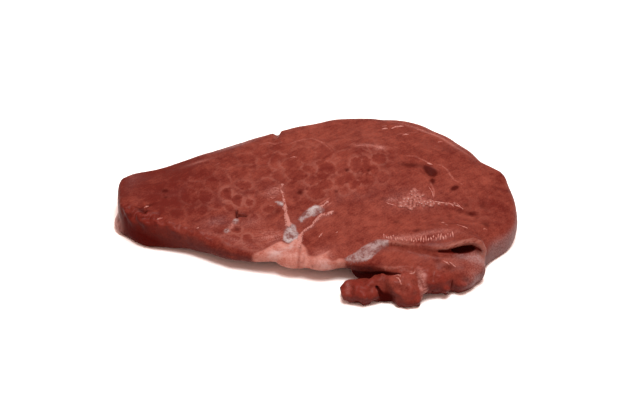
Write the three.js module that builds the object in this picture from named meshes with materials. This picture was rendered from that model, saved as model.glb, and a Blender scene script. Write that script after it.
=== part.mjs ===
// A piece of raw liver: a thick slab cut square at its narrow left end and domed towards the right. Its
// front edge is thin and lifts off the table, and at the front right a fold lies over a pocket, with torn
// lobes hanging under it. Millimetres, +Z up. It lies on its flat underside, and the origin is the middle
// of its footprint's box.
import * as THREE from "three";

// The rim, anticlockwise from the front left corner: x, y, the height of the top there, the height of the
// underside there, and how far inwards the upper and the lower edge are rounded.
const rim = [
  [-117, -6, 21, 0, 3, 3],
  [-107, -17, 21, 0, 4, 7],
  [-91, -22, 20, 1, 4, 10],
  [-76, -26, 18, 2, 5, 12],
  [-61, -34, 16, 4, 6, 16],
  [-43, -41, 15, 6, 6, 20],
  [-25, -45, 15, 7, 7, 22],
  [-9, -46, 15, 7, 7, 22],
  [5, -49, 14, 7, 7, 20],
  [18, -50, 15, 8, 5, 18],
  [34, -56, 17, 10, 3, 12],
  [47, -61, 19, 10, 3, 10],
  [58, -62, 18, 6, 4, 8],
  [70, -59, 18, 2, 6, 8],
  [82, -57, 17, 0, 8, 7],
  [93, -49, 17, 0, 9, 6],
  [101, -35, 18, 0, 9, 6],
  [113, -22, 17, 0, 8, 5],
  [119, -9, 17, 0, 8, 6],
  [119, 18, 18, 0, 6, 6],
  [114, 34, 21, 0, 5, 6],
  [105, 41, 24, 0, 8, 8],
  [96, 54, 25, 0, 10, 9],
  [82, 71, 26, 0, 11, 10],
  [62, 83, 28, 0, 12, 10],
  [38, 88, 28, 0, 12, 10],
  [14, 87, 28, 0, 12, 10],
  [-7, 82, 27, 0, 11, 10],
  [-28, 74, 26, 0, 10, 10],
  [-64, 57, 24, 0, 9, 9],
  [-94, 41, 22, 0, 7, 7],
  [-118, 29, 21, 0, 3, 4],
  [-122, 25, 21, 0, 3, 3],
  [-121, 5, 21, 0, 3, 3],
];
const rimSteps = 6; // straight pieces between two rim points
const rimSquareness = 2.6; // 2 rounds the edge as an ellipse, more squares it
const rimSoftness = 40; // square millimetres; more makes the rim's values blend over a longer stretch
const undercutReach = 30; // how far in from the rim the underside stays off the table
const settle = 1.5; // how much of the soft underside its own weight has pressed flat
const swellingReach = 16; // how far in from the rim a swelling has its full height

// Swellings and hollows of the top: x, y, half lengths along and across, turn in degrees, height.
const swellings = [
  { at: [38, 14], along: 62, across: 44, turn: 6, height: 10 }, // the dome
  { at: [78, -38], along: 28, across: 15, turn: 3, height: 10 }, // the shoulder behind the fold
  { at: [-66, 18], along: 40, across: 22, turn: 24, height: 3 },
  { at: [-14, -30], along: 15, across: 12, turn: 60, height: -2.5 }, // where the vessels enter
];
const hollows = [
  { at: [68.5, 17.5], along: 4.4, across: 3.4, turn: -20, height: -3.4 },
  { at: [57, 22], along: 9, across: 3, turn: -8, height: -1.6 },
];

// The fold, from left to right: x, y, how much of the dome ends there, and how wide the step down is.
const fold = [
  [14, -46, 0.2, 9],
  [26, -43, 0.6, 9],
  [36, -40, 0.7, 8],
  [45, -43.5, 0.4, 4],
  [52, -48, 0.35, 3],
  [60, -50.5, 0.4, 3],
  [68, -51, 0.65, 3],
  [75, -50, 0.9, 2.4],
  [82, -47.5, 1, 2.2],
  [89, -46, 1, 2.6],
  [95, -46, 0.7, 4],
  [101, -47, 0, 6],
];
const lip = { height: 0.8, behind: 2, width: 4 }; // the raised strip along the fold
const pocket = { at: [77.5, -41, 19.6], radii: [15, 7.4, 2.9], turn: 5, blend: 0.8 };

// Lobes: centre, half sizes and turn in degrees. Most hang from the fold down to the table.
const lobes = [
  { at: [-114, 3, 3.5], radii: [9.5, 11, 5], turn: 8 }, // the spread foot of the cut end
  { at: [38, -45, 5], radii: [19, 9, 8], turn: -6 }, // the wall behind the torn lobes
  { at: [25, -64.5, 5], radii: [12.5, 9, 6.4], turn: 12 },
  { at: [16, -63, 5], radii: [4.5, 5, 4.8], turn: 0 },
  { at: [46, -64.5, 6.5], radii: [12.5, 9.5, 7.8], turn: -8 },
  { at: [48, -69, 3.5], radii: [10.5, 7.5, 6], turn: 0 },
  { at: [62.5, -61, 9.5], radii: [5, 6.5, 8], turn: 0 },
  { at: [69, -60, 8], radii: [8.5, 7, 8], turn: 0 },
  { at: [82, -53.5, 8], radii: [10, 8.5, 8], turn: 20 },
  { at: [89, -49.5, 7], radii: [7, 6, 9], turn: 20 },
  { at: [76, -56, 3], radii: [14, 6, 4.5], turn: 8 },
];
const lobeBlend = 2.6;

// Rolls, each a chain of points with its half width there: x, y, z, half width.
const rolls = [
  // the rolled lip of the fold, down to the table at its right end
  [
    [34, -38.5, 20.5, 0.8],
    [45, -42.2, 22.2, 1],
    [52, -46.5, 22.6, 1.3],
    [60, -48.6, 22.8, 1.4],
    [68, -48.8, 23.2, 1.5],
    [75, -48, 24, 1.7],
    [82, -45.8, 24.8, 2],
    [88, -43.8, 25, 2.2],
    [93, -44.3, 23, 2.4],
    [96.5, -44.7, 19, 2.6],
    [97.5, -45, 14, 2.5],
    [96, -46, 8, 2.4],
    [92.5, -47.5, 3, 2.4],
  ],
  // the tendon beside the torn lobes
  [
    [57, -60, 16, 2.6],
    [58.5, -64.5, 14, 2.8],
    [58.5, -69, 9, 2.6],
    [56.5, -71, 3, 2.4],
  ],
];
const rollBlend = 1.6;

// Slow unevenness of the whole skin, and the rougher one of the torn lobes. Each crossing wave has a
// direction and a phase.
const skinWaves = { size: 34, height: 0.5 };
const waveDirections = [
  [0.9, 0.4, 0.3, 1.3],
  [-0.5, 0.8, 0.4, 4.1],
  [0.3, -0.6, 0.9, 2.2],
];
const tornWaves = { size: 8, height: 0.7, frontOf: -57, fade: 6 };

// The mesh: cell sizes, finer round the fold and its lobes.
const plainCell = 5.2;
const fineCell = 2.7;
const layer = 3;
const fineLayer = 1.9;
const fineX = [10, 104];
const fineY = [-76, -38];
const fineZ = [16, 27];
const box = { low: [-134, -86, -5], high: [130, 98, 42] };

const column = { top: 2, lift: 3, roundTop: 4, roundLow: 5 }; // where a rim row holds each value

const clamp01 = (t) => Math.min(1, Math.max(0, t));

const smoothStep = (t) => clamp01(t) ** 2 * (3 - 2 * clamp01(t));

// The lesser of two distances, with a soft crease of about size k.
function smoothMin(a, b, k) {
  const h = clamp01(0.5 + (0.5 * (b - a)) / k);
  return b + (a - b) * h - k * h * (1 - h);
}

const smoothMax = (a, b, k) => -smoothMin(-a, -b, k);

// A point relative to a centre, turned back by turn degrees about Z.
function turned(x, y, at, turn) {
  const a = THREE.MathUtils.degToRad(turn);
  const dx = x - at[0];
  const dy = y - at[1];
  return [dx * Math.cos(a) + dy * Math.sin(a), dy * Math.cos(a) - dx * Math.sin(a)];
}

// A bell-shaped hill, or a hollow where its height is negative.
function hill(x, y, { at, along, across, turn, height }) {
  const [u, v] = turned(x, y, at, turn);
  return height * Math.exp(-((u / along) ** 2) - (v / across) ** 2);
}

// About the distance in millimetres from an ellipsoid, less than 0 inside.
function ellipsoid(x, y, z, { at, radii, turn }) {
  const [u, v] = turned(x, y, at, turn);
  const w = z - at[2];
  const share = Math.hypot(u / radii[0], v / radii[1], w / radii[2]);
  const steep = Math.hypot(u / radii[0] ** 2, v / radii[1] ** 2, w / radii[2] ** 2);
  return steep > 0 ? (share * (share - 1)) / steep : -Math.min(...radii);
}

// The distance from a roll, less than 0 inside.
function rollDistance(x, y, z, roll) {
  let nearest = Infinity;
  for (let n = 1; n < roll.length; n++) {
    const [ax, ay, az, wide] = roll[n - 1];
    const [bx, by, bz, next] = roll[n];
    const [ex, ey, ez] = [bx - ax, by - ay, bz - az];
    const t = clamp01(((x - ax) * ex + (y - ay) * ey + (z - az) * ez) / (ex * ex + ey * ey + ez * ez));
    const away = Math.hypot(x - ax - t * ex, y - ay - t * ey, z - az - t * ez);
    nearest = Math.min(nearest, away - wide - (next - wide) * t);
  }
  return nearest;
}

// Uneven waves between about -1 and 1: crossing sines, each bent by the one before.
function waves(x, y, z, size) {
  let bend = 0;
  let sum = 0;
  for (const [dx, dy, dz, phase] of waveDirections) {
    bend = Math.sin((2 * Math.PI * (dx * x + dy * y + dz * z)) / size + phase + bend);
    sum += bend;
  }
  return sum / waveDirections.length;
}

const rimCurve = new THREE.CatmullRomCurve3(
  rim.map(([x, y]) => new THREE.Vector3(x, y, 0)),
  true,
  "centripetal",
);
const outline = rimCurve.getPoints(rim.length * rimSteps).slice(0, -1);

// The signed distance from the outline, less than 0 inside it.
function outlineDistance(x, y) {
  let nearest = Infinity;
  let inside = false;
  outline.forEach((a, i) => {
    const b = outline[(i + 1) % outline.length];
    const [ex, ey] = [b.x - a.x, b.y - a.y];
    const t = clamp01(((x - a.x) * ex + (y - a.y) * ey) / (ex * ex + ey * ey));
    nearest = Math.min(nearest, Math.hypot(x - a.x - t * ex, y - a.y - t * ey));
    if (a.y > y !== b.y > y && x < a.x + ((y - a.y) / ey) * ex) inside = !inside;
  });
  return inside ? -nearest : nearest;
}

// A value of the rim carried inwards: the rim points' own values, the nearer ones counting more.
function fromRim(x, y, key) {
  let sum = 0;
  let weights = 0;
  for (const row of rim) {
    const weight = 1 / ((x - row[0]) ** 2 + (y - row[1]) ** 2 + rimSoftness) ** 2;
    sum += weight * row[column[key]];
    weights += weight;
  }
  return sum / weights;
}

// A row of the fold at x, between its neighbours.
function foldAt(x) {
  const last = fold.length - 1;
  const i = Math.min(last - 1, Math.max(0, fold.findLastIndex((row) => row[0] <= x)));
  const [from, to] = [fold[i], fold[i + 1]];
  const t = smoothStep((x - from[0]) / (to[0] - from[0]));
  return from.map((value, k) => value + (to[k] - value) * t);
}

// How much of the dome is left, all of it behind the fold and less in front, and the height of the lip.
function atFold(x, y) {
  const [, foldY, share, width] = foldAt(x);
  const left = 1 - share * smoothStep((foldY - y) / width);
  const raised = lip.height * share * Math.exp(-(((y - foldY - lip.behind) / lip.width) ** 2));
  return { left, raised: x > fold[0][0] ? raised : 0 };
}

// What the slab is like above one point of the table.
function columnAt(x, y) {
  const edge = outlineDistance(x, y);
  const inward = Math.max(0, -edge);
  const swell = swellings.reduce((sum, s) => sum + hill(x, y, s), 0);
  const dent = hollows.reduce((sum, h) => sum + hill(x, y, h), 0);
  const { left, raised } = atFold(x, y);
  const top = fromRim(x, y, "top") + swell * smoothStep(inward / swellingReach) * left + raised + dent;
  const low = fromRim(x, y, "lift") * (1 - smoothStep(inward / undercutReach)) - settle;
  return { edge, top, low, roundTop: fromRim(x, y, "roundTop"), roundLow: fromRim(x, y, "roundLow") };
}

// The slab: flat enough in its middle, with a rim rounded differently above and below its widest line.
function slab(above, z) {
  const middle = (above.top + above.low) / 2;
  const half = (above.top - above.low) / 2;
  const round = z > middle ? above.roundTop : above.roundLow;
  const out = Math.max(0, 1 + above.edge / round);
  const up = Math.abs(z - middle) / half;
  const share = (out ** rimSquareness + up ** rimSquareness) ** (1 / rimSquareness);
  return (share - 1) * Math.min(half, round);
}

// The whole piece as a distance-like field, less than 0 inside.
function liver(above, x, y, z) {
  let body = slab(above, z);
  for (const lobe of lobes) body = smoothMin(body, ellipsoid(x, y, z, lobe), lobeBlend);
  body = smoothMax(body, -ellipsoid(x, y, z, pocket), pocket.blend);
  const torn = smoothStep((tornWaves.frontOf - y) / tornWaves.fade);
  body += skinWaves.height * waves(x, y, z, skinWaves.size);
  body += torn * tornWaves.height * waves(x, y, z, tornWaves.size);
  for (const roll of rolls) body = smoothMin(body, rollDistance(x, y, z, roll), rollBlend);
  return Math.max(body, -z);
}

// Grid lines from low to high, closer together between fine[0] and fine[1].
function gridLines(low, high, fine, plainStep, fineStep) {
  const lines = [low];
  while (lines.at(-1) < high) {
    const at = lines.at(-1);
    lines.push(at + (at >= fine[0] && at < fine[1] ? fineStep : plainStep));
  }
  return lines;
}

const xs = gridLines(box.low[0], box.high[0], fineX, plainCell, fineCell);
const ys = gridLines(box.low[1], box.high[1], fineY, plainCell, fineCell);
const zs = gridLines(box.low[2], box.high[2], fineZ, layer, fineLayer);
const index = (i, j, k) => (i * ys.length + j) * zs.length + k;

function sampleField() {
  const values = new Float64Array(xs.length * ys.length * zs.length);
  xs.forEach((x, i) =>
    ys.forEach((y, j) => {
      const above = columnAt(x, y);
      zs.forEach((z, k) => {
        values[index(i, j, k)] = liver(above, x, y, z);
      });
    }),
  );
  return values;
}

// Where the corners of a grid square are in and out by turns, two sheets of the surface would meet along
// one edge. The outside corner nearest the surface is then taken in, until no such square is left.
function partSheets(values) {
  const steps = [index(1, 0, 0), index(0, 1, 0), index(0, 0, 1)];
  const justInside = -0.05;
  let changed = true;
  while (changed) {
    changed = false;
    for (let at = 0; at < values.length - index(1, 1, 1); at++)
      for (let axis = 0; axis < 3; axis++) {
        const [u, v] = [steps[axis], steps[(axis + 1) % 3]];
        const square = [at, at + u, at + u + v, at + v];
        const [a, b, c, d] = square.map((n) => values[n] < 0);
        if (a !== c || b !== d || a === b) continue;
        const outside = square.filter((n) => values[n] >= 0);
        values[values[outside[0]] < values[outside[1]] ? outside[0] : outside[1]] = justInside;
        changed = true;
      }
  }
  return values;
}

// Surface nets: one vertex in each cell that the surface crosses, and one square for each grid edge that
// it crosses.
function surfaceNet(values) {
  const vertexOf = new Map();
  const positions = [];
  const corners = [0, 1, 2, 3, 4, 5, 6, 7].map((n) => [n & 1, (n >> 1) & 1, (n >> 2) & 1]);
  const edges = [0, 1, 2, 3, 4, 5, 6, 7].flatMap((a) =>
    [1, 2, 4].filter((bit) => !(a & bit)).map((bit) => [a, a | bit]),
  );

  for (let i = 0; i < xs.length - 1; i++)
    for (let j = 0; j < ys.length - 1; j++)
      for (let k = 0; k < zs.length - 1; k++) {
        const at = corners.map(([a, b, c]) => values[index(i + a, j + b, k + c)]);
        const crossings = edges.filter(([a, b]) => at[a] < 0 !== at[b] < 0);
        if (!crossings.length) continue;
        const middle = new THREE.Vector3();
        const place = ([a, b, c]) => new THREE.Vector3(xs[i + a], ys[j + b], zs[k + c]);
        for (const [a, b] of crossings) {
          const t = at[a] / (at[a] - at[b]);
          middle.add(place(corners[a]).lerp(place(corners[b]), t));
        }
        middle.divideScalar(crossings.length);
        vertexOf.set(index(i, j, k), positions.length / 3);
        positions.push(middle.x, middle.y, middle.z);
      }

  const triangles = [];
  const steps = [
    [1, 0, 0],
    [0, 1, 0],
    [0, 0, 1],
  ];
  for (let i = 1; i < xs.length - 1; i++)
    for (let j = 1; j < ys.length - 1; j++)
      for (let k = 1; k < zs.length - 1; k++)
        steps.forEach((step, axis) => {
          const from = values[index(i, j, k)] < 0;
          const to = values[index(i + step[0], j + step[1], k + step[2])] < 0;
          if (from === to) return;
          const [u, v] = [index(...steps[(axis + 1) % 3]), index(...steps[(axis + 2) % 3])];
          const cell = (a, b) => vertexOf.get(index(i, j, k) - a * u - b * v);
          const square = [cell(0, 0), cell(1, 0), cell(1, 1), cell(0, 1)];
          const [p, q, r, s] = from ? square : square.reverse();
          triangles.push(p, q, r, p, r, s);
        });
  return { positions, triangles };
}

// Each vertex is drawn along the field's slope onto the surface itself, by half a cell at most.
function drawn(positions) {
  const at = (x, y, z) => liver(columnAt(x, y), x, y, z);
  const reach = fineCell / 2;
  const near = 0.2;
  const leastSlope = 0.1;
  const moved = [];
  for (let n = 0; n < positions.length; n += 3) {
    const [x, y, z] = positions.slice(n, n + 3);
    const value = at(x, y, z);
    const slope = new THREE.Vector3(
      at(x + near, y, z) - at(x - near, y, z),
      at(x, y + near, z) - at(x, y - near, z),
      at(x, y, z + near) - at(x, y, z - near),
    ).divideScalar(2 * near);
    const step = slope.multiplyScalar(-value / Math.max(slope.lengthSq(), leastSlope));
    step.clampLength(0, reach);
    moved.push(x + step.x, y + step.y, Math.max(0, z + step.z));
  }
  return moved;
}

const net = surfaceNet(partSheets(sampleField()));
const geometry = new THREE.BufferGeometry();
geometry.setAttribute("position", new THREE.Float32BufferAttribute(drawn(net.positions), 3));
geometry.setIndex(net.triangles);
geometry.computeVertexNormals();
geometry.computeBoundingBox();

const flesh = new THREE.MeshStandardMaterial({ color: 0x8a3a2f, roughness: 0.42, metalness: 0 });
const piece = new THREE.Mesh(geometry, flesh);
piece.name = "liver";
// The middle of the footprint's box is the origin, and the base is at 0.
const { min, max } = geometry.boundingBox;
piece.position.set(-(min.x + max.x) / 2, -(min.y + max.y) / 2, -min.z);

const group = new THREE.Group();
group.add(piece);

export default group;
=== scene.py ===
import math
import bpy
import numpy as np
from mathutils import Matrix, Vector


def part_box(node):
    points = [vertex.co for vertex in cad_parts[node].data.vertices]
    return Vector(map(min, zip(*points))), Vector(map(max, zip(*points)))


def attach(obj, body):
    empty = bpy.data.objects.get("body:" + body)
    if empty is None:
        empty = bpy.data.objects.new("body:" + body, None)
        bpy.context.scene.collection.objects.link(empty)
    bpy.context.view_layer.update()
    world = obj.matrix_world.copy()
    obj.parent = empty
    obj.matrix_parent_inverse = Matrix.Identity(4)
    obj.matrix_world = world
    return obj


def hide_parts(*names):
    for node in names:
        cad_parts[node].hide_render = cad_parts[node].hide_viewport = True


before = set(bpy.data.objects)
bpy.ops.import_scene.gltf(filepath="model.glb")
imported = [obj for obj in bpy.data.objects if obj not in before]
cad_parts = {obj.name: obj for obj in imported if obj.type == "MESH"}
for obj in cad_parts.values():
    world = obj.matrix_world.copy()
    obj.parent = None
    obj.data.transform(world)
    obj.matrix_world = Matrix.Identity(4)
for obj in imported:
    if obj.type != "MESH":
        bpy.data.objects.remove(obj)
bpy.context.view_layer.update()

# A piece of raw liver. Its form is the CAD part's own, drawn again with a finer grid and with the low
# relief of its skin, fat and sinews. Places are in millimetres from the drawing's own origin, and offset
# carries them to the frame.
mm = 0.001

slab = {
    # the rim, anticlockwise from the front left: x, y, top, lift of the underside, upper and lower rounding
    "rim": [
        (-117, -6, 21, 0, 3, 3), (-107, -17, 21, 0, 4, 7), (-91, -22, 20, 1, 4, 10),
        (-76, -26, 18, 2, 5, 12), (-61, -34, 16, 4, 6, 16), (-43, -41, 15, 6, 6, 20),
        (-25, -45, 15, 7, 7, 22), (-9, -46, 15, 7, 7, 22), (5, -49, 14, 7, 7, 20),
        (18, -50, 15, 8, 5, 18), (34, -56, 17, 10, 3, 12), (47, -61, 19, 10, 3, 10),
        (58, -62, 18, 6, 4, 8), (70, -59, 18, 2, 6, 8), (82, -57, 17, 0, 8, 7), (93, -49, 17, 0, 9, 6),
        (101, -35, 18, 0, 9, 6), (113, -22, 17, 0, 8, 5), (119, -9, 17, 0, 8, 6), (119, 18, 18, 0, 6, 6),
        (114, 34, 21, 0, 5, 6), (105, 41, 24, 0, 8, 8), (96, 54, 25, 0, 10, 9), (82, 71, 26, 0, 11, 10),
        (62, 83, 28, 0, 12, 10), (38, 88, 28, 0, 12, 10), (14, 87, 28, 0, 12, 10),
        (-7, 82, 27, 0, 11, 10), (-28, 74, 26, 0, 10, 10), (-64, 57, 24, 0, 9, 9), (-94, 41, 22, 0, 7, 7),
        (-118, 29, 21, 0, 3, 4), (-122, 25, 21, 0, 3, 3), (-121, 5, 21, 0, 3, 3),
    ],
    "rimSteps": 6,
    "rimSquareness": 2.6,
    "rimSoftness": 40,
    "undercutReach": 30,
    "settle": 1.5,
    "swellingReach": 16,
    # x, y, half lengths along and across, turn in degrees, height
    "swellings": [
        (38, 14, 62, 44, 6, 10), (78, -38, 28, 15, 3, 10), (-66, 18, 40, 22, 24, 3),
        (-14, -30, 15, 12, 60, -2.5),
    ],
    "hollows": [(68.5, 19, 4.6, 3.6, -20, -2.8), (57, 22.5, 9, 3, -8, -0.8)],
    "skinWaves": (34, 0.5),
    "waveDirections": [(0.9, 0.4, 0.3, 1.3), (-0.5, 0.8, 0.4, 4.1), (0.3, -0.6, 0.9, 2.2)],
}

fold = {
    # from left to right: x, y, how much of the dome ends there, how wide the step down is
    "rows": [
        (14, -46, 0.2, 9), (26, -43, 0.6, 9), (36, -40, 0.7, 8), (45, -42.6, 0.4, 4),
        (52, -45.2, 0.35, 3), (60, -47.4, 0.4, 3), (68, -49, 0.65, 3), (75, -49.2, 0.9, 2.4),
        (82, -47.2, 1, 2.2), (89, -45.4, 1, 2.6), (95, -45.6, 0.7, 4), (101, -47, 0, 6),
    ],
    "lip": (0.8, 2, 4),  # height, how far behind the fold, half width
    "pocket": ((81.5, -43.6, 20), (9, 4.6, 2.4), 5),
    "pocketBlend": 0.8,
    # the slit under the lip, cut in after the lip: x, y, z, half width
    "slit": [
        (57, -46.4, 21.2, 0.2), (63, -48, 21.2, 0.4), (70, -49, 21.4, 0.7), (76, -48.8, 21.6, 1.2),
        (82, -47.4, 21.4, 1.9), (88, -46.2, 21.2, 1.6), (91.5, -45.8, 20.4, 0.8),
        (93.4, -45.6, 19.6, 0.3),
    ],
    # clefts between the torn lobes, in the same way, painted dark as their shade
    "clefts": [
        [
            (18, -50.4, 5.8, 2), (24, -53.4, 6.6, 2.2), (29, -56, 8.8, 2.2), (34.6, -58, 11.5, 1.5),
            (40, -60.6, 14.1, 0.9), (46, -63.6, 16.2, 0.3),
        ],
        [
            (29, -58.6, 11, 0.9), (31.4, -64, 10.6, 0.6), (33.8, -68.6, 9.4, 0.7), (36.4, -71, 6, 1),
            (38, -72, 1, 1.2),
        ],
        [(63.4, -61.6, 15, -0.6), (64.4, -64.8, 11, 0.2), (64.8, -66, 6, 0.4)],
        [(75.4, -59, 13, -0.6), (76.4, -62.6, 9, 0.2), (76.6, -64, 4, 0.6)],
    ],
    # the torn lobes and what they hang from: centre, half sizes, turn in degrees
    "lobes": [
        ((-114, 3, 3.5), (9.5, 11, 5), 8), ((38, -46, 5.6), (19, 10, 8.4), -4),
        ((26, -64.5, 5.2), (12, 8.6, 6.4), 12), ((18, -63, 5), (4.5, 5, 4.8), 0),
        ((47, -63.5, 7.5), (11.5, 9.5, 9), -8), ((35, -62.6, 9), (5.4, 6, 4.6), 0),
        ((39, -64.4, 3), (6.5, 5.8, 5), 0), ((51, -68.5, 3.5), (8.5, 7.2, 6), 0),
        ((62.5, -61, 9.5), (5, 6.5, 8), 0), ((69, -60, 8), (8.5, 7, 8), 0),
        ((82, -53.5, 8), (10, 8.5, 8), 20), ((89.5, -49, 7.5), (7.6, 6.6, 9.6), 20),
        ((76, -56, 3), (14, 6, 4.5), 8), ((88.5, -40.4, 19.6), (7.5, 5, 4.8), 0),
    ],
    "lobeBlend": 2.6,
    "wall": 1,  # which lobe is the wall behind the torn ones, painted dark as its shade
    # the rolled lip and the tendon: x, y, z, half width
    "rolls": [
        [
            (34, -38.5, 20.5, 0.7), (45, -41.8, 22, 0.8), (54, -44.2, 22.4, 0.9), (62, -46.6, 22.6, 0.9),
            (68, -47.8, 23, 0.9), (74, -48.2, 23.6, 1), (79, -47, 24.6, 1.2), (84, -45.4, 25.3, 1.5),
            (89, -44, 25, 1.9), (92.6, -44, 23, 2.2), (94.6, -44.4, 19, 2.2), (94.4, -45.6, 13, 1.8),
        ],
        [(57, -60, 15.6, 1.7), (59.4, -63.4, 13, 2.2), (59.2, -67, 8.4, 2), (56.4, -70, 3, 1.6)],
    ],
    "rollBlend": 2,
    "tornWaves": (9, 1.2, -57, 6),  # size, height, in front of this y, fade
    "crumpled": (7, 1.1),  # size, height
}

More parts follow.
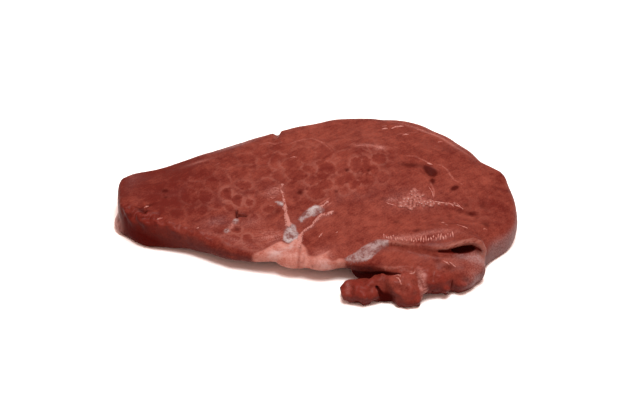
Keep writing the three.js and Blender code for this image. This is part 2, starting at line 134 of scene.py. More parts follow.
marks = {
    "outlineSteps": 4,
    # how each mark's height ends at its edge: level and width, for near
    "edges": {
        "cord": (0.5, 1.8), "fat": (0.4, 2.4), "groove": (0.5, 1.6), "film": (0.5, 1.6), "vein": (0.5, 1.6),
        "cut": (0.6, 1.2),
    },
    # sinews in the skin: x, y, half width
    "cords": [
        [
            (-21.6, 14, 0.1), (-22.5, 10, 0.3), (-21, 4.9, 0.35), (-20, -2.9, 0.5), (-19.3, -9.9, 0.7),
            (-17.3, -18, 1.4),
        ],
        [
            (-11.2, -36, 0.9), (-11, -28, 1.2), (-9.4, -24.1, 0.8), (-6.5, -21.5, 0.4),
            (-3.7, -19.8, 0.55), (-2, -17.1, 0.3), (0.1, -14.8, 0.5), (2.1, -13, 0.6), (5.4, -12.8, 0.5),
            (8.6, -10.6, 0.1),
        ],
        [(1.3, -7.2, 0.5), (3.4, -5.4, 0.2), (6, -3, 0.1)],
    ],
    "cordHeight": 0.8,
    "veinHeight": 0.15,
    # the fat along the front rim, anticlockwise from its left tip
    "fat": [
        (-38, -42), (-30, -52), (-14, -58), (8, -60), (17, -54), (15.7, -49.2), (11.9, -46.9),
        (8.4, -48.5), (5.4, -45.9), (6.9, -40.5), (3.9, -42.4), (-2, -45.5), (-5.7, -43.9), (-6.9, -38.7),
        (-9.8, -33), (-12.7, -28.5), (-17.6, -33), (-21.7, -31.2), (-27.3, -35.6), (-32.1, -39.7),
    ],
    "fatHeight": 1.1,
    "fatLumps": (7, 0.3),  # size, share of the height
    "grooveDepth": 1.3,
    "fatGrooves": [  # one between two lobes of fat, then round two ends of vessels
        [(-11, -33, 0.4), (-10.6, -39, 0.5), (-11.4, -48, 0.6)],
        [
            (-7.8, -45.8, 0), (-8.6, -44.3, 0), (-10.4, -44.3, 0), (-11.2, -45.8, 0), (-10.4, -47.3, 0),
            (-8.6, -47.3, 0), (-7.8, -45.8, 0),
        ],
        [
            (-0.5, -48.2, 0), (-1.5, -46.4, 0), (-3.5, -46.4, 0), (-4.5, -48.2, 0), (-3.5, -50, 0),
            (-1.5, -50, 0), (-0.5, -48.2, 0),
        ],
    ],
    "fatBlobs": [((-14, -42.5, 10), (9.5, 5.5, 4.6), 0), ((1, -46, 11), (9, 4.5, 3.2), 0)],
    # grey gristle that shows as smooth patches; their pale grey also paints the reflection of the light on
    # these wet smooth facets
    "films": [
        [(-25.6, 0.4), (-20.9, -1), (-20.9, -4.2), (-23.3, -2.9)],
        [
            (-16.9, -18.3), (-14, -18.2), (-12.7, -21.9), (-11.3, -26), (-12.2, -31.4), (-15.1, -32.8),
            (-18.6, -31.8), (-20.7, -28.5), (-19.6, -23.2), (-18.4, -20.1),
        ],
        [
            (-11.4, -14.9), (-8.6, -10.9), (-5.3, -6.6), (-2, -4.6), (1.3, -6.2), (3.4, -9.5), (0.5, -12),
            (-2.8, -13.2), (-7, -14.3), (-10.3, -16.6),
        ],
        [
            (15.3, -47.7), (21.3, -43.8), (27.1, -39.9), (31.6, -38.6), (36, -38.4), (40.6, -39.4),
            (40.4, -41.8), (36.8, -42.6), (34.2, -44.7), (31.8, -47.6), (29, -50.4), (22.7, -49.7),
            (18.2, -49.1),
        ],
        [(-50.4, -15.6), (-48.8, -13), (-47.4, -13.6), (-47.6, -16.4), (-49.4, -17.4)],
        [(-55, -23.4), (-53.4, -22), (-52, -23.4), (-53, -25.6), (-54.8, -25.2)],
    ],
    "filmHeight": 0.35,
    # a short cut, in the shape of a T
    "cut": [[(-48.5, -5.6, 0.5), (-48.2, -11.4, 0.6)], [(-47.6, -9.7, 0.8), (-43, -9.9, 0.5)]],
    "cutDepth": 1.8,
    # faint pale lines, one of them a painted highlight along the front rim of the fold: x, y, half width
    "veins": [
        [(-62.6, 32, 0.3), (-60.4, 33.4, 0.4)],
        [(-76, 35.6, 0.3), (-72, 37, 0.5)],
        [
            (-23, 50, 0.1), (-17, 52.6, 0.3), (-11, 56, 0.4), (-3.7, 57.4, 0.5), (2, 53, 0.5),
            (6, 46, 0.3), (9, 40, 0.1),
        ],
        [(-36, 53, 0.3), (-31, 54.5, 0.5), (-26.7, 51.8, 0.4), (-22, 54.5, 0.3)],
        [(23, 43.4, 0.5), (31, 44.6, 0.4), (39.5, 41, 0.5)],
        [(54.5, 34.6, 0.3), (59.8, 33.6, 0.5), (62, 31, 0.4), (68.2, 27, 0.5)],
        [
            (72, 27, 0.2), (75.6, 26, 0.4), (78.6, 22.4, 0.5), (79.8, 18.6, 0.6), (82, 14.2, 0.4),
            (87, 11.4, 0.3),
        ],
        [(67.6, 10, 0.3), (69.4, 3.6, 0.4), (69, -0.6, 0.4)],
        [(63, 65.5, 0.3), (70.6, 63, 0.5), (78.5, 58, 0.5), (86, 52, 0.4)],
        [(50, 59, 0.3), (56, 60.5, 0.3), (63, 63, 0.3)],
        # a painted highlight along the lit front rim of the fold
        [(24, -53.2, 0.2), (36, -56.6, 0.4), (46, -60.4, 0.4), (55, -61.6, 0.4)],
        [(1, -4.6, 0.6), (3.4, -3.2, 0.5), (5.6, -2, 0.6), (8.6, 0.4, -0.6)],
        [(2.3, -8.7, 0.4), (5, -6.8, 0.7), (7.7, -4.8, 0.4), (11, -2.6, -0.8)],
    ],
    # spots and patches: x, y, half lengths along and across, turn in degrees, strength
    "dark": [
        (-55.4, 10, 2.6, 2, 0, 0.4), (-48.3, 4.4, 2.4, 2, 0, 0.35), (-47.8, -22.3, 2.6, 2.2, 0, 0.5),
        (-92.1, 8.8, 2.6, 1.8, 0, 0.7), (-91.2, 3.8, 1.5, 1.2, 0, 0.6), (17.5, 21.2, 1.6, 1.5, 0, 0.7),
        (30.6, 19.2, 1.4, 1.4, 0, 0.6), (10.9, 3.4, 1.4, 1.2, 0, 0.5), (-24, -8.4, 3, 2.4, 0, 0.4),
        # the second mark on the next line lies in the dimple and paints its shade as well as its darker
        # flesh
        (-10.8, 6.8, 2, 2, 0, 0.75), (68.4, 21.6, 3.6, 2.1, -30, 2), (56, 25, 8, 2.2, -4, 0.6),
        (68.9, 12, 1.7, 3.2, 0, 0.9), (82, 7.2, 2.8, 1.4, 40, 1.4), (90.8, -12.6, 3.6, 3, 0, 0.65),
        (97.8, -22.4, 3.4, 2.8, 0, 0.5), (88.3, -5.5, 2.6, 2.2, 0, 0.45), (84, -10.6, 3, 2.6, 0, 0.4),
        (77.4, -29.7, 2.6, 2, 0, 0.4), (56.9, -33.7, 2.8, 2, 0, 0.5), (45.9, -23.3, 2.6, 2, 0, 0.4),
        (40.6, 21.7, 4, 5, 0, 0.3), (98.6, -4, 3, 3.6, 0, 0.4), (77.6, -16.6, 2.6, 1.8, 30, 0.35),
        (-104, -8, 8, 1.4, -30, 0.5), (-100, -4, 5, 1.2, 24, 0.45), (68, -54, 2.6, 1.6, 20, 0.4),
        (74.5, -56.5, 4.5, 2.4, 0, 0.45), (39, -4, 2.6, 2, 0, 0.35), (26, -8, 2, 1.2, 20, 0.3),
        (-46, -9, 5.5, 3.2, 0, 0.3), (60, 38, 12, 4, -10, 0.15),
    ],
    "rays": [(-28, -28, 8, 6, -20, 0.65)],  # fine streaks of a painted sheen that fan out from the fat
    "rayCentre": (-17, -24),
    # pale pinkish tissue, with a painted sheen and small glints where the wet skin catches the light
    "pink": [
        (31, 44, 9, 2, -8, 0.5), (38.6, 41.4, 2.6, 1.8, 0, 0.9), (-27, 8, 5, 4, 0, 0.45),
        (43.5, -5, 3, 1.6, 0, 0.5), (56, -6, 12, 8, 0, 0.3), (64, -39, 16, 2, 0, 0.5),
        (47, -38, 10, 2.4, 0, 0.5), (68, 65, 20, 1.4, -28, 0.5), (86, 50, 12, 1.2, -48, 0.5),
        (-73, 37, 8, 1.6, 24, 0.4), (98, -47, 3, 3, 0, 0.4), (-50, -31, 20, 1.8, -24, 0.3),
        (-40, -16, 8, 4, 20, 0.3), (3, -44, 5, 4, 0, 0.6), (-51, -19.6, 5, 1.6, 62, 0.7),
    ],
    "glaze": [  # greyish and streaked, where the skin is thin and clear and a painted sheen lies on it
        (-53, 54.5, 15, 2.2, 25, 0.7), (-60, -16, 8, 4, 20, 0.25), (-113, 26, 5, 16, 0, 0.15),
    ],
    "foldSinewAndSheen": [  # greyish and streaked too, pale sinew with a painted sheen on the fold and at its right end: centre, half sizes, turn, strength
        ((94, -49, 16), (6, 4, 5), 0, 0.8), ((89, -56, 6), (7, 5, 4), 20, 0.9),
        ((84, -49, 18), (9, 2, 2), -4, 0.6),
    ],
    # painted shade on the sides, under the rim and low between the torn lobes, with darker flesh and blood
    # there too: centre, half sizes, turn, strength
    "bloodAndShade": [
        ((-106, -17, 8), (17, 8, 10), -30, 1), ((-118, -8, 12), (5, 12, 8), 0, 0.7),
        ((28, -56, 4), (16, 8, 5), 0, 1), ((39, -61, 12), (8, 4, 2.4), 0, 0.6),
        ((72, -58, 1), (12, 6, 4), 0, 0.8), ((88, -56, 1.5), (9, 6, 3), 0, 0.8),
        ((38, -70, 2), (3, 6, 8), 0, 0.9), ((-84, -24, 4), (26, 6, 5), -20, 0.6),
        ((82, -53, 12), (4.5, 4, 5), 0, 0.5),
    ],
    "plain": [  # less red on the torn lobes
        ((46, -66, 12), (13, 9, 7), 0, 1), ((70, -62, 11), (6, 5, 5), 0, 0.4),
    ],
    # painted pinkish highlights and sheen on the fold and the torn lobes
    "pinkHighlight": [
        ((92, -49, 17), (5, 4, 5), 0, 0.7), ((88, -57, 11), (5, 4, 4), 0, 0.5),
        ((47, -66, 12), (9, 6, 6), 0, 0.1), ((17, -66, 6), (1.6, 4, 4), 0, 0.6),
        ((80, -53, 18), (8, 3, 2), 0, 0.3),
    ],
    "thin": [((30, -43, 18), (12, 7, 9), 0, 0.45)],  # less of the grey film
    "sheen": [  # a painted sheen on the fat
        ((-23, -41.5, 14), (6, 2.4, 4), 16, 0.8), ((-15, -38, 15), (3, 5, 4), 0, 0.5),
        ((4, -50, 13), (5, 2, 4), 0, 0.5),
    ],
    "hollow": [  # painted shade in the places behind the torn lobes and between them
        ((24, -52.6, 3.6), (8.6, 4.8, 3.8), 0, 3), ((38.6, -70.4, 3.4), (3.2, 4.4, 4.4), 0, 2.5),
    ],
    "foot": [((-123, 0, 5), (5, 12, 8), 0, 1)],  # the pale foot of the cut end
    "crumpled": [  # the corner of the cut end and the front rim beside it
        ((-104, -14, 19), (20, 6, 6), -30, 1), ((-70, -27, 16), (20, 4, 5), -20, 0.5),
    ],
    "tone": [  # darker below 0, lighter above
        (-98, 14, 40, 36, 0, -1.15), (-66, 50, 30, 10, 24, -0.35),
        (52, -50, 20, 7, -8, 0.4), (45, -24, 36, 13, 0, 0.3), (10, 16, 40, 30, 0, 0.25),
        (105, 20, 18, 40, 0, -0.1), (30, 80, 60, 8, 0, -0.2), (12, 60, 44, 14, 0, 0.3),
        (-40, -24, 14, 10, 0, 0.2), (-72, -24, 24, 5, -20, 0.25), (-52, -31, 22, 2.6, -24, 0.5),
        (-4, -32, 8, 8, 0, -0.1), (82, -50, 12, 6, 0, 0.2), (48, -67, 10, 6, 0, 0.9),
        (22, -66, 8, 8, 0, -0.5), (96, -26, 12, 12, 0, -0.3),
    ],
    "cells": [  # where the lobules show through
        (-10, 26, 34, 20, 14, 1), (14, 18, 22, 14, 0, 0.7), (-62, 8, 26, 15, 10, 0.75),
        (34, 32, 12, 14, 0, 0.7), (-50, -14, 22, 14, 0, 0.3), (-24, 44, 34, 10, 14, 0.35),
        (92, -8, 18, 18, 0, 0.25),
    ],
    "lobules": [  # those that show one by one: x, y, half lengths, turn, strength
        (-16.5, 30.5, 6.5, 4.1, -17, 0.9), (-13.6, 21.4, 6.6, 3.4, -28, 0.6),
        (-3.7, 15.1, 4, 3, -13, 0.75), (5.4, 25.1, 7.2, 4, -43, 0.9), (-5.2, 24, 4.1, 2.6, -37, 0.6),
        (4.8, 9.8, 4.8, 3.6, -16, 0.75), (-1.6, 5.1, 5.8, 3.7, -41, 0.7), (-14.7, 8.6, 6.5, 5, -81, 0.35),
        (4, 40.1, 9.1, 5.2, -84, 0.5), (-8.5, 39.5, 8, 6.4, -63, 0.3), (14.9, 22.9, 5.4, 3.4, -88, 0.5),
        (22.9, 25.3, 5.8, 3.3, 89, 0.85), (18.6, 15.1, 4, 3, -88, 0.85), (21.6, 7.9, 4, 3.2, 89, 0.9),
        (12.8, 11.4, 5.1, 2.8, 90, 0.6), (15.5, 3.1, 2.6, 2.5, 7, 0.5), (29.6, 24.1, 6.4, 2.6, -89, 0.75),
        (36.9, 28.7, 5.2, 3.9, 86, 0.85), (29.8, 11.8, 4.4, 3.5, -40, 0.4),
        (38.7, 13.3, 4.1, 3.2, 84, 0.45), (26.2, 3.2, 3.3, 3.1, -36, 0.4),
        (33.9, 19.7, 3.9, 2.4, -86, 0.5), (2.7, 17.9, 3.5, 2.1, -45, 0.7), (-55.2, 7.4, 5.3, 3.2, 89, 1),
        (-48.2, 2.6, 4.4, 3.1, -90, 1), (-41.4, 1.5, 3.1, 2.3, -85, 0.9),
        (-52.9, -3.4, 2.6, 2.4, 76, 0.6), (-67.5, 4.7, 4.8, 4.2, -73, 0.36),
        (-77.3, 5.5, 5.9, 4.6, -70, 0.3), (-47.8, -22.9, 2.7, 2.6, -89, 1),
        (-50.6, -30.6, 4.1, 3.4, -14, 0.8), (-41.3, -29.7, 3.6, 2.6, -87, 0.95),
        (-38.1, -35.8, 4.2, 2.4, -17, 0.7), (-44.8, 14.8, 4.5, 3.1, -10, 0.6),
        (-37.8, -11.5, 2.2, 2.1, -40, 0.6), (-29.8, -5.1, 3.4, 2.8, -59, 0.4),
        (-64.1, 15.2, 4.5, 4.2, 84, 0.3),
    ],
    "small": [(33, 28, 16, 20, 0, 1.2), (-50, 2, 12, 12, 0, 1.2), (92, -8, 16, 16, 0, 1)],
    # the crumbly torn patch on the dome, and its tail
    "crumbs": [
        (52.6, -8, 4.6, 4.2, 8, 1.5), (59, -5.4, 5.4, 4.8, 20, 1.5), (57.4, 1, 3, 2.4, 0, 1),
        (66, -7.4, 4.4, 1.6, 0, 1), (77, -6.4, 8, 1, 4, 0.8),
    ],
    # in the back rim: x, y, z, half width
    "nick": [
        (-26.8, 57, 28.8, 0.3), (-26.4, 62, 28, 1.8), (-26, 67, 27, 2.2), (-25.6, 72, 24, 2.2),
        (-25.4, 76, 19, 0.8),
    ],
}



def smoothStep(t):
    t = np.clip(t, 0, 1)
    return t * t * (3 - 2 * t)


def rise(value, start, width):  # from 0 at start to 1 a width further on, or the other way if it is below 0
    return smoothStep((value - start) / width)


def near(gap, level, width):  # 1 on a mark and 0 away from it
    return smoothStep(level - gap / width)


def smoothMin(a, b, k):
    h = np.clip(0.5 + 0.5 * (b - a) / k, 0, 1)
    return b + (a - b) * h - k * h * (1 - h)


def turned(x, y, at, turn):  # a point relative to a centre, turned back about Z
    a = math.radians(turn)
    dx, dy = x - at[0], y - at[1]
    return dx * math.cos(a) + dy * math.sin(a), dy * math.cos(a) - dx * math.sin(a)


def hills(x, y, rows):  # the sum of round bumps, seen from above
    total = 0
    for row in rows:
        u, v = turned(x, y, row[:2], row[4])
        total = total + row[5] * np.exp(-((u / row[2]) ** 2) - (v / row[3]) ** 2)
    return total


def mounds(x, y, z, rows):  # the same in all three directions, held between 0 and 1
    total = 0
    for at, radii, turn, strength in rows:
        u, v = turned(x, y, at, turn)
        power = -((u / radii[0]) ** 2) - (v / radii[1]) ** 2 - ((z - at[2]) / radii[2]) ** 2
        total = total + strength * np.exp(power)
    return np.clip(total, 0, 1)


def ellipsoid(x, y, z, at, radii, turn):  # about the distance in mm, less than 0 inside
    u, v = turned(x, y, at, turn)
    w = z - at[2]
    share = np.sqrt((u / radii[0]) ** 2 + (v / radii[1]) ** 2 + (w / radii[2]) ** 2)
    steep = np.sqrt((u / radii[0] ** 2) ** 2 + (v / radii[1] ** 2) ** 2 + (w / radii[2] ** 2) ** 2)
    return share * (share - 1) / np.maximum(steep, 1e-9)


def fromPath(at, path):  # the distance from a path whose last value at each point is its half width
    nearest = np.inf
    for one, two in zip(path, path[1:]):
        edge = [b - a for a, b in zip(one[:-1], two[:-1])]
        away = [c - a for c, a in zip(at, one[:-1])]
        t = np.clip(sum(a * e for a, e in zip(away, edge)) / sum(e * e for e in edge), 0, 1)
        gap = np.sqrt(sum((a - e * t) ** 2 for a, e in zip(away, edge)))
        nearest = np.minimum(nearest, gap - one[-1] - (two[-1] - one[-1]) * t)
    return nearest


def fromPaths(at, paths):
    return np.minimum.reduce([fromPath(at, path) for path in paths])


def waves(x, y, z, size):
    bend, total = 0, 0
    for dx, dy, dz, phase in slab["waveDirections"]:
        bend = np.sin(2 * np.pi * (dx * x + dy * y + dz * z) / size + phase + bend)
        total = total + bend
    return total / len(slab["waveDirections"])


def closedCurve(points, steps):  # a centripetal Catmull-Rom curve through the points
    pts = np.array(points, float)
    found = []
    for i in range(len(pts)):
        p0, p1, p2, p3 = (pts[(i + k) % len(pts)] for k in (-1, 0, 1, 2))
        d0, d1, d2 = (np.linalg.norm(b - a) ** 0.5 for a, b in ((p0, p1), (p1, p2), (p2, p3)))
        t1 = ((p1 - p0) / d0 - (p2 - p0) / (d0 + d1) + (p2 - p1) / d1) * d1
        t2 = ((p2 - p1) / d1 - (p3 - p1) / (d1 + d2) + (p3 - p2) / d2) * d1
        square = 3 * (p2 - p1) - 2 * t1 - t2
        cube = 2 * (p1 - p2) + t1 + t2
        for t in np.arange(steps) / steps:
            found.append(p1 + t1 * t + square * t**2 + cube * t**3)
    return np.array(found)


def fromOutline(x, y, outline):  # the signed distance from a closed outline, less than 0 inside
    nearest = np.full(np.shape(x), np.inf)
    inside = np.zeros(np.shape(x), bool)
    for a, b in zip(outline, np.roll(outline, -1, 0)):
        ex, ey = b - a
        t = np.clip(((x - a[0]) * ex + (y - a[1]) * ey) / (ex * ex + ey * ey), 0, 1)
        nearest = np.minimum(nearest, np.hypot(x - a[0] - t * ex, y - a[1] - t * ey))
        if ey:
            inside ^= ((a[1] > y) != (b[1] > y)) & (x < a[0] + (y - a[1]) / ey * ex)
    return np.where(inside, -nearest, nearest)


def fromRim(x, y, column):  # a value of the rim carried inwards, the nearer rim points counting more
    total, weights = 0, 0
    for row in slab["rim"]:
        weight = 1 / ((x - row[0]) ** 2 + (y - row[1]) ** 2 + slab["rimSoftness"]) ** 2
        total = total + weight * row[column]
        weights = weights + weight
    return total / weights


def foldAt(x):
    rows = np.array(fold["rows"], float)
    i = np.clip(np.searchsorted(rows[:, 0], x, side="right") - 1, 0, len(rows) - 2)
    t = smoothStep((x - rows[i, 0]) / (rows[i + 1, 0] - rows[i, 0]))
    return [rows[i, c] + (rows[i + 1, c] - rows[i, c]) * t for c in (1, 2, 3)]


fatOutline = closedCurve(marks["fat"], marks["outlineSteps"])
filmOutlines = [closedCurve(film, marks["outlineSteps"]) for film in marks["films"]]


def markDistances(x, y):  # signed distances in mm from what lies in or on the skin
    return {
        "fat": fromOutline(x, y, fatOutline),
        "cord": fromPaths((x, y), marks["cords"]),
        "film": np.minimum.reduce([fromOutline(x, y, film) for film in filmOutlines]),
        "vein": fromPaths((x, y), marks["veins"]),
        "cut": fromPaths((x, y), marks["cut"]),
        "groove": fromPaths((x, y), marks["fatGrooves"]),
    }


def relief(x, y):  # how far the marks stand out of the skin
    at = markDistances(x, y)
    on = {name: near(at[name], *edge) for name, edge in marks["edges"].items()}
    size, share = marks["fatLumps"]
    fat = marks["fatHeight"] * on["fat"] * (1 + share * waves(x, y, 0, size))
    up = np.maximum(marks["cordHeight"] * on["cord"], fat) - marks["grooveDepth"] * on["groove"] * on["fat"]
    up = up + marks["filmHeight"] * on["film"]
    up = up + marks["veinHeight"] * on["vein"]
    return up - marks["cutDepth"] * on["cut"]


def columnAt(x, y):  # what the slab is like above one point of the table
    edge = fromOutline(x, y, closedCurve([row[:2] for row in slab["rim"]], slab["rimSteps"]))
    inward = np.maximum(0, -edge)
    foldY, share, width = foldAt(x)
    left = 1 - share * smoothStep((foldY - y) / width)
    lipHigh, lipBehind, lipWide = fold["lip"]
    lip = lipHigh * share * np.exp(-(((y - foldY - lipBehind) / lipWide) ** 2)) * (x > fold["rows"][0][0])
    swell = hills(x, y, slab["swellings"]) * smoothStep(inward / slab["swellingReach"]) * left
    top = fromRim(x, y, 2) + swell + lip + hills(x, y, slab["hollows"])
    low = fromRim(x, y, 3) * (1 - smoothStep(inward / slab["undercutReach"])) - slab["settle"]
    return edge, top + relief(x, y), low, fromRim(x, y, 4), fromRim(x, y, 5)


def slabField(column, z):
    edge, top, low, roundTop, roundLow = column
    middle, half = (top + low) / 2, (top - low) / 2
    rounding = np.where(z > middle, roundTop, roundLow)
    out = np.maximum(0, 1 + edge / rounding)
    up = np.abs(z - middle) / half
    power = slab["rimSquareness"]
    return ((out**power + up**power) ** (1 / power) - 1) * np.minimum(half, rounding)


def liverField(column, x, y, z):  # less than 0 inside the piece
    body = slabField(column, z)
    for row in fold["lobes"] + marks["fatBlobs"]:
        body = smoothMin(body, ellipsoid(x, y, z, *row), fold["lobeBlend"])
    body = -smoothMin(-body, ellipsoid(x, y, z, *fold["pocket"]), fold["pocketBlend"])
    size, height = slab["skinWaves"]
    body = body + height * waves(x, y, z, size)
    size, height, front, fade = fold["tornWaves"]
    body = body + smoothStep((front - y) / fade) * height * waves(x, y, z, size)
    size, height = fold["crumpled"]
    body = body + mounds(x, y, z, marks["crumpled"]) * height * waves(x, y, z, size)
    for roll in fold["rolls"]:
        body = smoothMin(body, fromPath((x, y, z), roll), fold["rollBlend"])
    for cut in [fold["slit"], *fold["clefts"], marks["nick"]]:
        body = -smoothMin(-body, fromPath((x, y, z), cut), fold["pocketBlend"])
    return np.maximum(body, -z)


grid = {  # mm
    "plain": 0.98,
    "fine": 0.68,
    "layer": 0.8,
    "fineZone": ((-58, 100), (-76, 4)),
    "low": (-130, -82, -3.7),
    "high": (126, 94, 38),
    "justInside": -0.05,
    "thinBelow": 0.02,  # the underside has fewer faces where it is as low as this
    "thinRatio": 0.72,  # of all faces, those that are kept
}


def gridLines(axis):
    start, end = grid["fineZone"][axis]
    lines = [grid["low"][axis]]
    while lines[-1] < grid["high"][axis]:
        lines.append(lines[-1] + (grid["fine"] if start <= lines[-1] < end else grid["plain"]))
    return np.array(lines)


def squareCorner(values, axis, corner):  # a view of one corner of every grid square across an axis
    window = [slice(None)] * 3
    for side, start in zip([k for k in range(3) if k != axis], corner):
        window[side] = slice(start, values.shape[side] - 1 + start)
    return values[tuple(window)]


def partSheets(values):  # takes in a corner of each grid square whose corners are in and out by turns
    changed = True
    while changed:
        changed = False
        for axis in range(3):
            corners = {key: squareCorner(values, axis, key) for key in ((0, 0), (1, 0), (1, 1), (0, 1))}
            inside = {key: corner < 0 for key, corner in corners.items()}
            same = (inside[0, 0] == inside[1, 1]) & (inside[1, 0] == inside[0, 1])
            crossed = same & (inside[0, 0] != inside[1, 0])
            if not crossed.any():
                continue
            changed = True
            for first, second in (((0, 0), (1, 1)), ((1, 0), (0, 1))):
                take = crossed & ~inside[first]
                nearer = corners[first] <= corners[second]
                corners[first][take & nearer] = grid["justInside"]
                corners[second][take & ~nearer] = grid["justInside"]
    return values


def surfaceNet(values, xs, ys, zs):  # one vertex in each crossed cell, one square for each crossed edge
    inside = values < 0
    nx, ny, nz = values.shape
    corners = [(a, b, c) for a in (0, 1) for b in (0, 1) for c in (0, 1)]
    around = [inside[a : nx - 1 + a, b : ny - 1 + b, c : nz - 1 + c] for a, b, c in corners]
    cells = np.argwhere(np.logical_or.reduce(around) & ~np.logical_and.reduce(around))
    number = np.full((nx - 1, ny - 1, nz - 1), -1)
    number[tuple(cells.T)] = np.arange(len(cells))
    total = np.zeros((len(cells), 3))
    count = np.zeros(len(cells))
    for start in corners:
        for axis in range(3):
            if start[axis]:
                continue
            end = [value + (k == axis) for k, value in enumerate(start)]
            one, two = (tuple((cells + corner).T) for corner in (start, end))
            hit = inside[one] != inside[two]
            t = np.where(hit, values[one] / np.where(hit, values[one] - values[two], 1), 0)
            here, there = (np.stack([xs[i], ys[j], zs[k]], 1) for i, j, k in (one, two))
            total += np.where(hit[:, None], here + (there - here) * t[:, None], 0)
            count += hit
    squares = []
    step = np.eye(3, dtype=int)
    for axis in range(3):
        window = [slice(1, -1)] * 3
        window[axis] = slice(2, None)
        at = np.argwhere(inside[1:-1, 1:-1, 1:-1] != inside[tuple(window)]) + 1
        u, v = step[(axis + 1) % 3], step[(axis + 2) % 3]
        square = np.stack([number[tuple(cell.T)] for cell in (at, at - u, at - u - v, at - v)], 1)
        squares.append(np.where(inside[tuple(at.T)][:, None], square, square[:, ::-1]))
    return total / count[:, None], np.concatenate(squares)


def liverNet():
    xs, ys = gridLines(0), gridLines(1)
    zs = np.arange(grid["low"][2], grid["high"][2], grid["layer"])
    x, y = np.meshgrid(xs, ys, indexing="ij")
    column = [value[..., None] for value in columnAt(x, y)]
    values = liverField(column, x[..., None], y[..., None], zs[None, None, :])
    return surfaceNet(partSheets(values), xs, ys, zs)


netPoints, netFaces = liverNet()
cadMiddle = [(low + high) / 2 / mm for low, high in zip(*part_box("liver"))]
offset = np.array(cadMiddle) - (netPoints.min(0) + netPoints.max(0)) / 2
offset[2] = 0
print("surface drawn:", len(netPoints), "points,", len(netFaces), "squares")


def inFrame(point):  # millimetres of the drawing to metres of the frame
    return tuple((np.array(point, float) + offset) * mm)


def linear(code):  # an sRGB hex colour as linear red, green, blue and alpha
    parts = [int(code[i : i + 2], 16) / 255 for i in (1, 3, 5)]
    return tuple(p / 12.92 if p <= 0.04045 else ((p + 0.055) / 1.055) ** 2.4 for p in parts) + (1,)


# A node with its settings. Each input is set, or linked to a socket or to a node's first output.
def add(tree, kind, inputs=None, **settings):
    node = tree.nodes.new(kind)
    for name, value in settings.items():
        setattr(node, name, value)
    for key, value in (inputs or {}).items():
        if isinstance(value, bpy.types.Node):
            value = value.outputs[0]
        if isinstance(value, bpy.types.NodeSocket):
            tree.links.new(value, node.inputs[key])
        else:
            node.inputs[key].default_value = value
    return node


lobules = {
    "cell": 12.5,  # mm across one lobule
    "smallCell": 7,
    "bend": 13,  # mm that the lines wander
    "bendSize": 16,
    "bendDetail": 2.5,
    "randomness": 0.8,
    "lineWidth": 2.0,
    "lineHeight": 0.14,
}


# Seen from above: mm from the nearest line between two lobules, and from the nearest middle of one.
def lobuleGaps(tree, place, cell):
    inputs = {"Vector": place, "Scale": 1 / (lobules["bendSize"] * mm), "Detail": lobules["bendDetail"]}
    bend = add(tree, "ShaderNodeTexNoise", inputs).outputs["Color"]
    centred = add(tree, "ShaderNodeVectorMath", {0: bend, 1: (0.5,) * 3}, operation="SUBTRACT")
    reach = lobules["bend"] * mm
    wander = add(tree, "ShaderNodeVectorMath", {0: centred, 1: (reach, reach, 0)}, operation="MULTIPLY")
    moved = add(tree, "ShaderNodeVectorMath", {0: place, 1: wander}, operation="ADD")
    gaps = []
    for feature in ("DISTANCE_TO_EDGE", "F1"):
        inputs = {"Vector": moved, "Scale": 1 / (cell * mm), "Randomness": lobules["randomness"]}
        cells = add(tree, "ShaderNodeTexVoronoi", inputs, voronoi_dimensions="2D", feature=feature)
        inputs = {0: cells.outputs["Distance"], 1: cell}
        gaps.append(add(tree, "ShaderNodeMath", inputs, operation="MULTIPLY"))
    return gaps


def mixedGaps(tree, place, small):  # the same where an attribute chooses between large and small lobules
    sizes = [lobuleGaps(tree, place, lobules[size]) for size in ("cell", "smallCell")]
    return [add(tree, "ShaderNodeMix", {0: small, 2: one, 3: two}) for one, two in zip(*sizes)]


# how the marks fade: mm, or the share by which the surface faces up
fades = {
    # start and width, for rise
    "top": (0.05, 0.4),
    "tornFront": (-58, -6),
    "tornRight": (6, 4),
    "endRight": (97, 6),
    "endFront": (2, -14),
    "endSteep": (0.75, -0.5),
    # where the painted shade on the wall behind the torn lobes begins: near the wall, and right of this x
    "wall": (0.8, -1.5),
    "wallRight": (12, 4),
    "offLobules": (1, 3),  # the pattern of lobules starts beside those that show one by one
    "veinSide": (0.35, -0.2),
    # painted shade: the sides darker as they turn from the light, partly also their darker cut flesh
    "side": (0.55, -0.6),
    "free": (0.2, 1.5),
    # level and width, for near
    # painted shade in the clefts and in the slit under the lip
    "cleftShade": (0.95, 1.1),
    "pocket": (0.95, 1.1),
    "lip": (1, 1.4),
    "tendon": (1, 1.7),
    # what the hills are multiplied by, and what is taken off
    "small": (2, 0.5),
    "dark": (1.3, 0),
    "crumbs": (1.8, 0.5),
    "wallTop": (9, 0.25, 22, -2),  # where the painted shade on the wall ends: height, slope, where it is measured, width
    "far": 9,  # mm, the greatest distance that counts
    "filmFacing": 0.1,  # grey patches end where the skin faces up less than this
    "fatBottom": 4,  # mm above the table
    "grooveShade": 0.7,  # mm beside a groove that aren't fat
    "veinLoss": 3,  # mm taken off the veins where the skin is steep
    "lipClear": 0.2,  # mm from the pocket to the lip's own colour
    "endSkinAndSheen": 0.5,  # how much grey skin and painted sheen the right end has
    # streaks round the ray centre: how often, how strong
    "streakMiddle": 0.5,
    "streaks": (38, 0.6),
    "streakBend": (17, 3),
    "fineStreaks": (61, 0.3),
}


def streaksAt(x, y):  # streaks of the painted sheen that fan out from the fat
    angle = np.arctan2(y - marks["rayCentre"][1], x - marks["rayCentre"][0])
    (often, strength), (bendOften, bend) = fades["streaks"], fades["streakBend"]
    fineOften, fine = fades["fineStreaks"]
    main = fades["streakMiddle"] + strength * np.sin(angle * often + bend * np.sin(angle * bendOften))
    return smoothStep(main + fine * np.sin(angle * fineOften))


